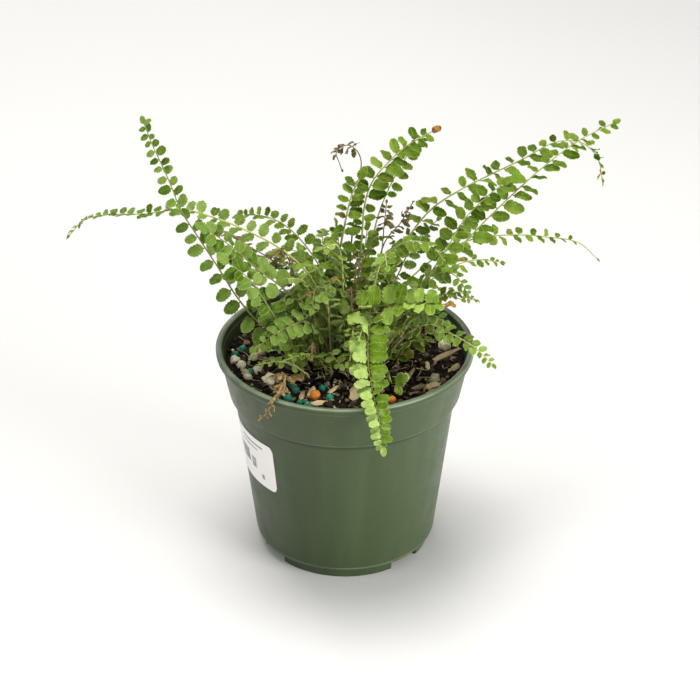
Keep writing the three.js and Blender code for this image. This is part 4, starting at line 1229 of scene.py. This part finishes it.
def short_frond(k, shift):
    draw = make_random(SHORT_SEED + k)
    angle = k * GOLDEN_ANGLE + 20 + shift
    start = around(angle, CROWN_RADIUS * math.sqrt((k + 2) / (SHORT_FRONDS + 2)))
    front = (1 + math.cos(math.radians(angle))) / 2
    reach = draw(13, 22)
    rise = draw(18, 34) - 11 * front
    turn = draw(-25, 25)
    passes = [(0.22, 0.45, 0), (0.6, 0.92, 0.5), (1, 1 - draw(0, 0.16), 1)]
    route = arch(start, angle, reach, turn, rise, passes, lambda x, y: SOIL_EDGE_Z)
    return frond(f"short_{k + 1}", start[:2], route, bare=0.26, leaf=draw(5.2, 6.6), spacing=5,
                 roll=draw(-25, 25), tone=SHORT_TONES[k % len(SHORT_TONES)], tip_size=0.55)


def fill_frond(k, shift):
    """A small frond in the clump: one in two low, and most of them towards the front."""
    draw = make_random(FILL_SEED + k)
    side = (k * GOLDEN_SHARE) % 1 * 2 - 1
    angle = 165 * math.copysign(abs(side) ** 1.5, side) + shift
    low = k % 2 == 0
    start = around(angle, draw(3, 24) if low else draw(2, 17))
    reach = draw(7, 19) if low else draw(6, 24)
    rise = draw(5, 26) if low else draw(24, 52)
    turn = draw(-45, 45)
    droop = draw(0, 0.35) if low else draw(-0.05, 0.25)
    route = arch(start, angle, reach, turn, rise, [(0.15, 0.5, 0), (0.55, 1, 0.5), (1, 1 - droop, 1)])
    tone = FILL_TONES[k % len(FILL_TONES)]
    withered = tone == "withered"
    return frond(f"fill_{k + 1}", start[:2], route, bare=0.14 if low else 0.3,
                 leaf=draw(5, 6.6) * (0.6 if withered else 1), roll=draw(-35, 35), spacing=draw(4.4, 5.4),
                 tilt=draw(-10, 20), tone=tone, tip_size=0.6, crowding=0.3, wild=1.5,
                 dryness=0.75 if withered else 0)


def stand(kind):
    """Settles a frond's stalk and claims its room."""
    stalk = Stalk(kind.base, kind.route)
    claim(stalk.room(kind.leaf), STALK_CLEARANCE, kind.name)
    return kind, stalk


def find_clear(make, k):
    """The first direction in which frond k keeps clear of the stalks that are there."""
    for turn in range(TURNS_TRIED):
        kind = make(k, (-1 if turn % 2 else 1) * math.ceil(turn / 2) * TURN_STEP)
        room = Stalk(kind.base, kind.route).room(kind.leaf)
        if not is_taken(room, STALK_CLEARANCE + SPARE_ROOM, kind.name):
            return stand(kind)


def keep_view_clear(kind, stalk):
    """Claims the room in front of a frond, so that the small ones don't hide it from the camera."""
    for s, _ in pair_positions(kind, stalk.total):
        spot = stalk.read(stalk.points, s)
        toward = unit(np.array(CAMERA_PLACE) / MM - spot)
        for height in VIEW_HEIGHTS:
            claim([spot + (0, 0, height) + toward * away for away in VIEW_STEPS], VIEW_RADIUS, kind.name)


def make_fronds():
    looks = {}
    for tone, (_, *colours, more) in TONES.items():
        looks[tone] = leaf_look("leaf_" + tone, *colours, **more)
    grown = [stand(kind) for kind in NAMED_FRONDS]
    grown += filter(None, (find_clear(short_frond, k) for k in range(SHORT_FRONDS)))
    in_part = len(grown)
    for kind, stalk in grown:
        if kind.in_view:
            keep_view_clear(kind, stalk)
    fine = [stand(kind) for kind in FINE_FRONDS]
    grown += filter(None, (find_clear(fill_frond, k) for k in range(FILL_FRONDS) if k not in FILLS_LEFT_OUT))
    grown += fine
    # The fronds in plain view grow first
    for i, (kind, stalk) in sorted(enumerate(grown), key=lambda entry: not entry[1][0].in_view):
        piece = grow_frond(kind, stalk, i + 1, looks)
        if i < in_part:
            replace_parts(piece, "frond_" + kind.name)


# Stage, lights and camera


def make_floor():
    look = Look("floor", Roughness=0.9, Specular_IOR_Level=0.2, Emission_Color=(1, 1, 0.99))
    tone = look.mix(look.noise(3, 2), (0.60, 0.59, 0.575), (0.64, 0.63, 0.615))
    # Far from the lights the floor glows a little, so that it stays pale up to the horizon
    away = look.node("VectorMath", {0: look.place()}, "Value", operation="LENGTH")
    glow = look.ramp(away, GLOW_FROM, GLOW_TO, 0, GLOW_MOST)
    mesh = bpy.data.meshes.new("floor")
    corners = [(x * FLOOR_REACH, y * FLOOR_REACH, 0) for x, y in ((-1, -1), (1, -1), (1, 1), (-1, 1))]
    mesh.from_pydata(corners, [], [(0, 1, 2, 3)])
    mesh.materials.append(look.done(Base_Color=tone, Emission_Strength=glow))
    add_object("floor", mesh)


def light_scene():
    """A faint sky, and square soft lights that face the middle of the plant."""
    world = bpy.data.worlds.new("studio")
    world.use_nodes = True
    background = world.node_tree.nodes["Background"]
    background.inputs["Color"].default_value = SKY_COLOUR
    background.inputs["Strength"].default_value = SKY_STRENGTH
    bpy.context.scene.world = world
    for name, (place, size, power, tint) in LIGHTS.items():
        data = bpy.data.lights.new(name, "AREA")
        data.size = size
        data.energy = power
        data.color = tint
        light = add_object(name, data)
        light.location = place
        light.rotation_euler = (LIGHT_AIM - light.location).to_track_quat("-Z", "Y").to_euler()
    bpy.context.scene.view_settings.view_transform = "Standard"


def add_camera():
    data = bpy.data.cameras.new("camera")
    data.sensor_width = SENSOR_WIDTH
    data.lens = SENSOR_WIDTH * FOCAL_PER_WIDTH
    data.dof.use_dof = False
    camera = add_object("camera", data)
    camera.location = CAMERA_PLACE
    camera.rotation_euler = (math.radians(90 - CAMERA_DOWN), 0, 0)
    bpy.context.scene.camera = camera


add_camera()
light_scene()
make_floor()
make_pot()
make_label()
make_soil()
make_grains()
make_fronds()
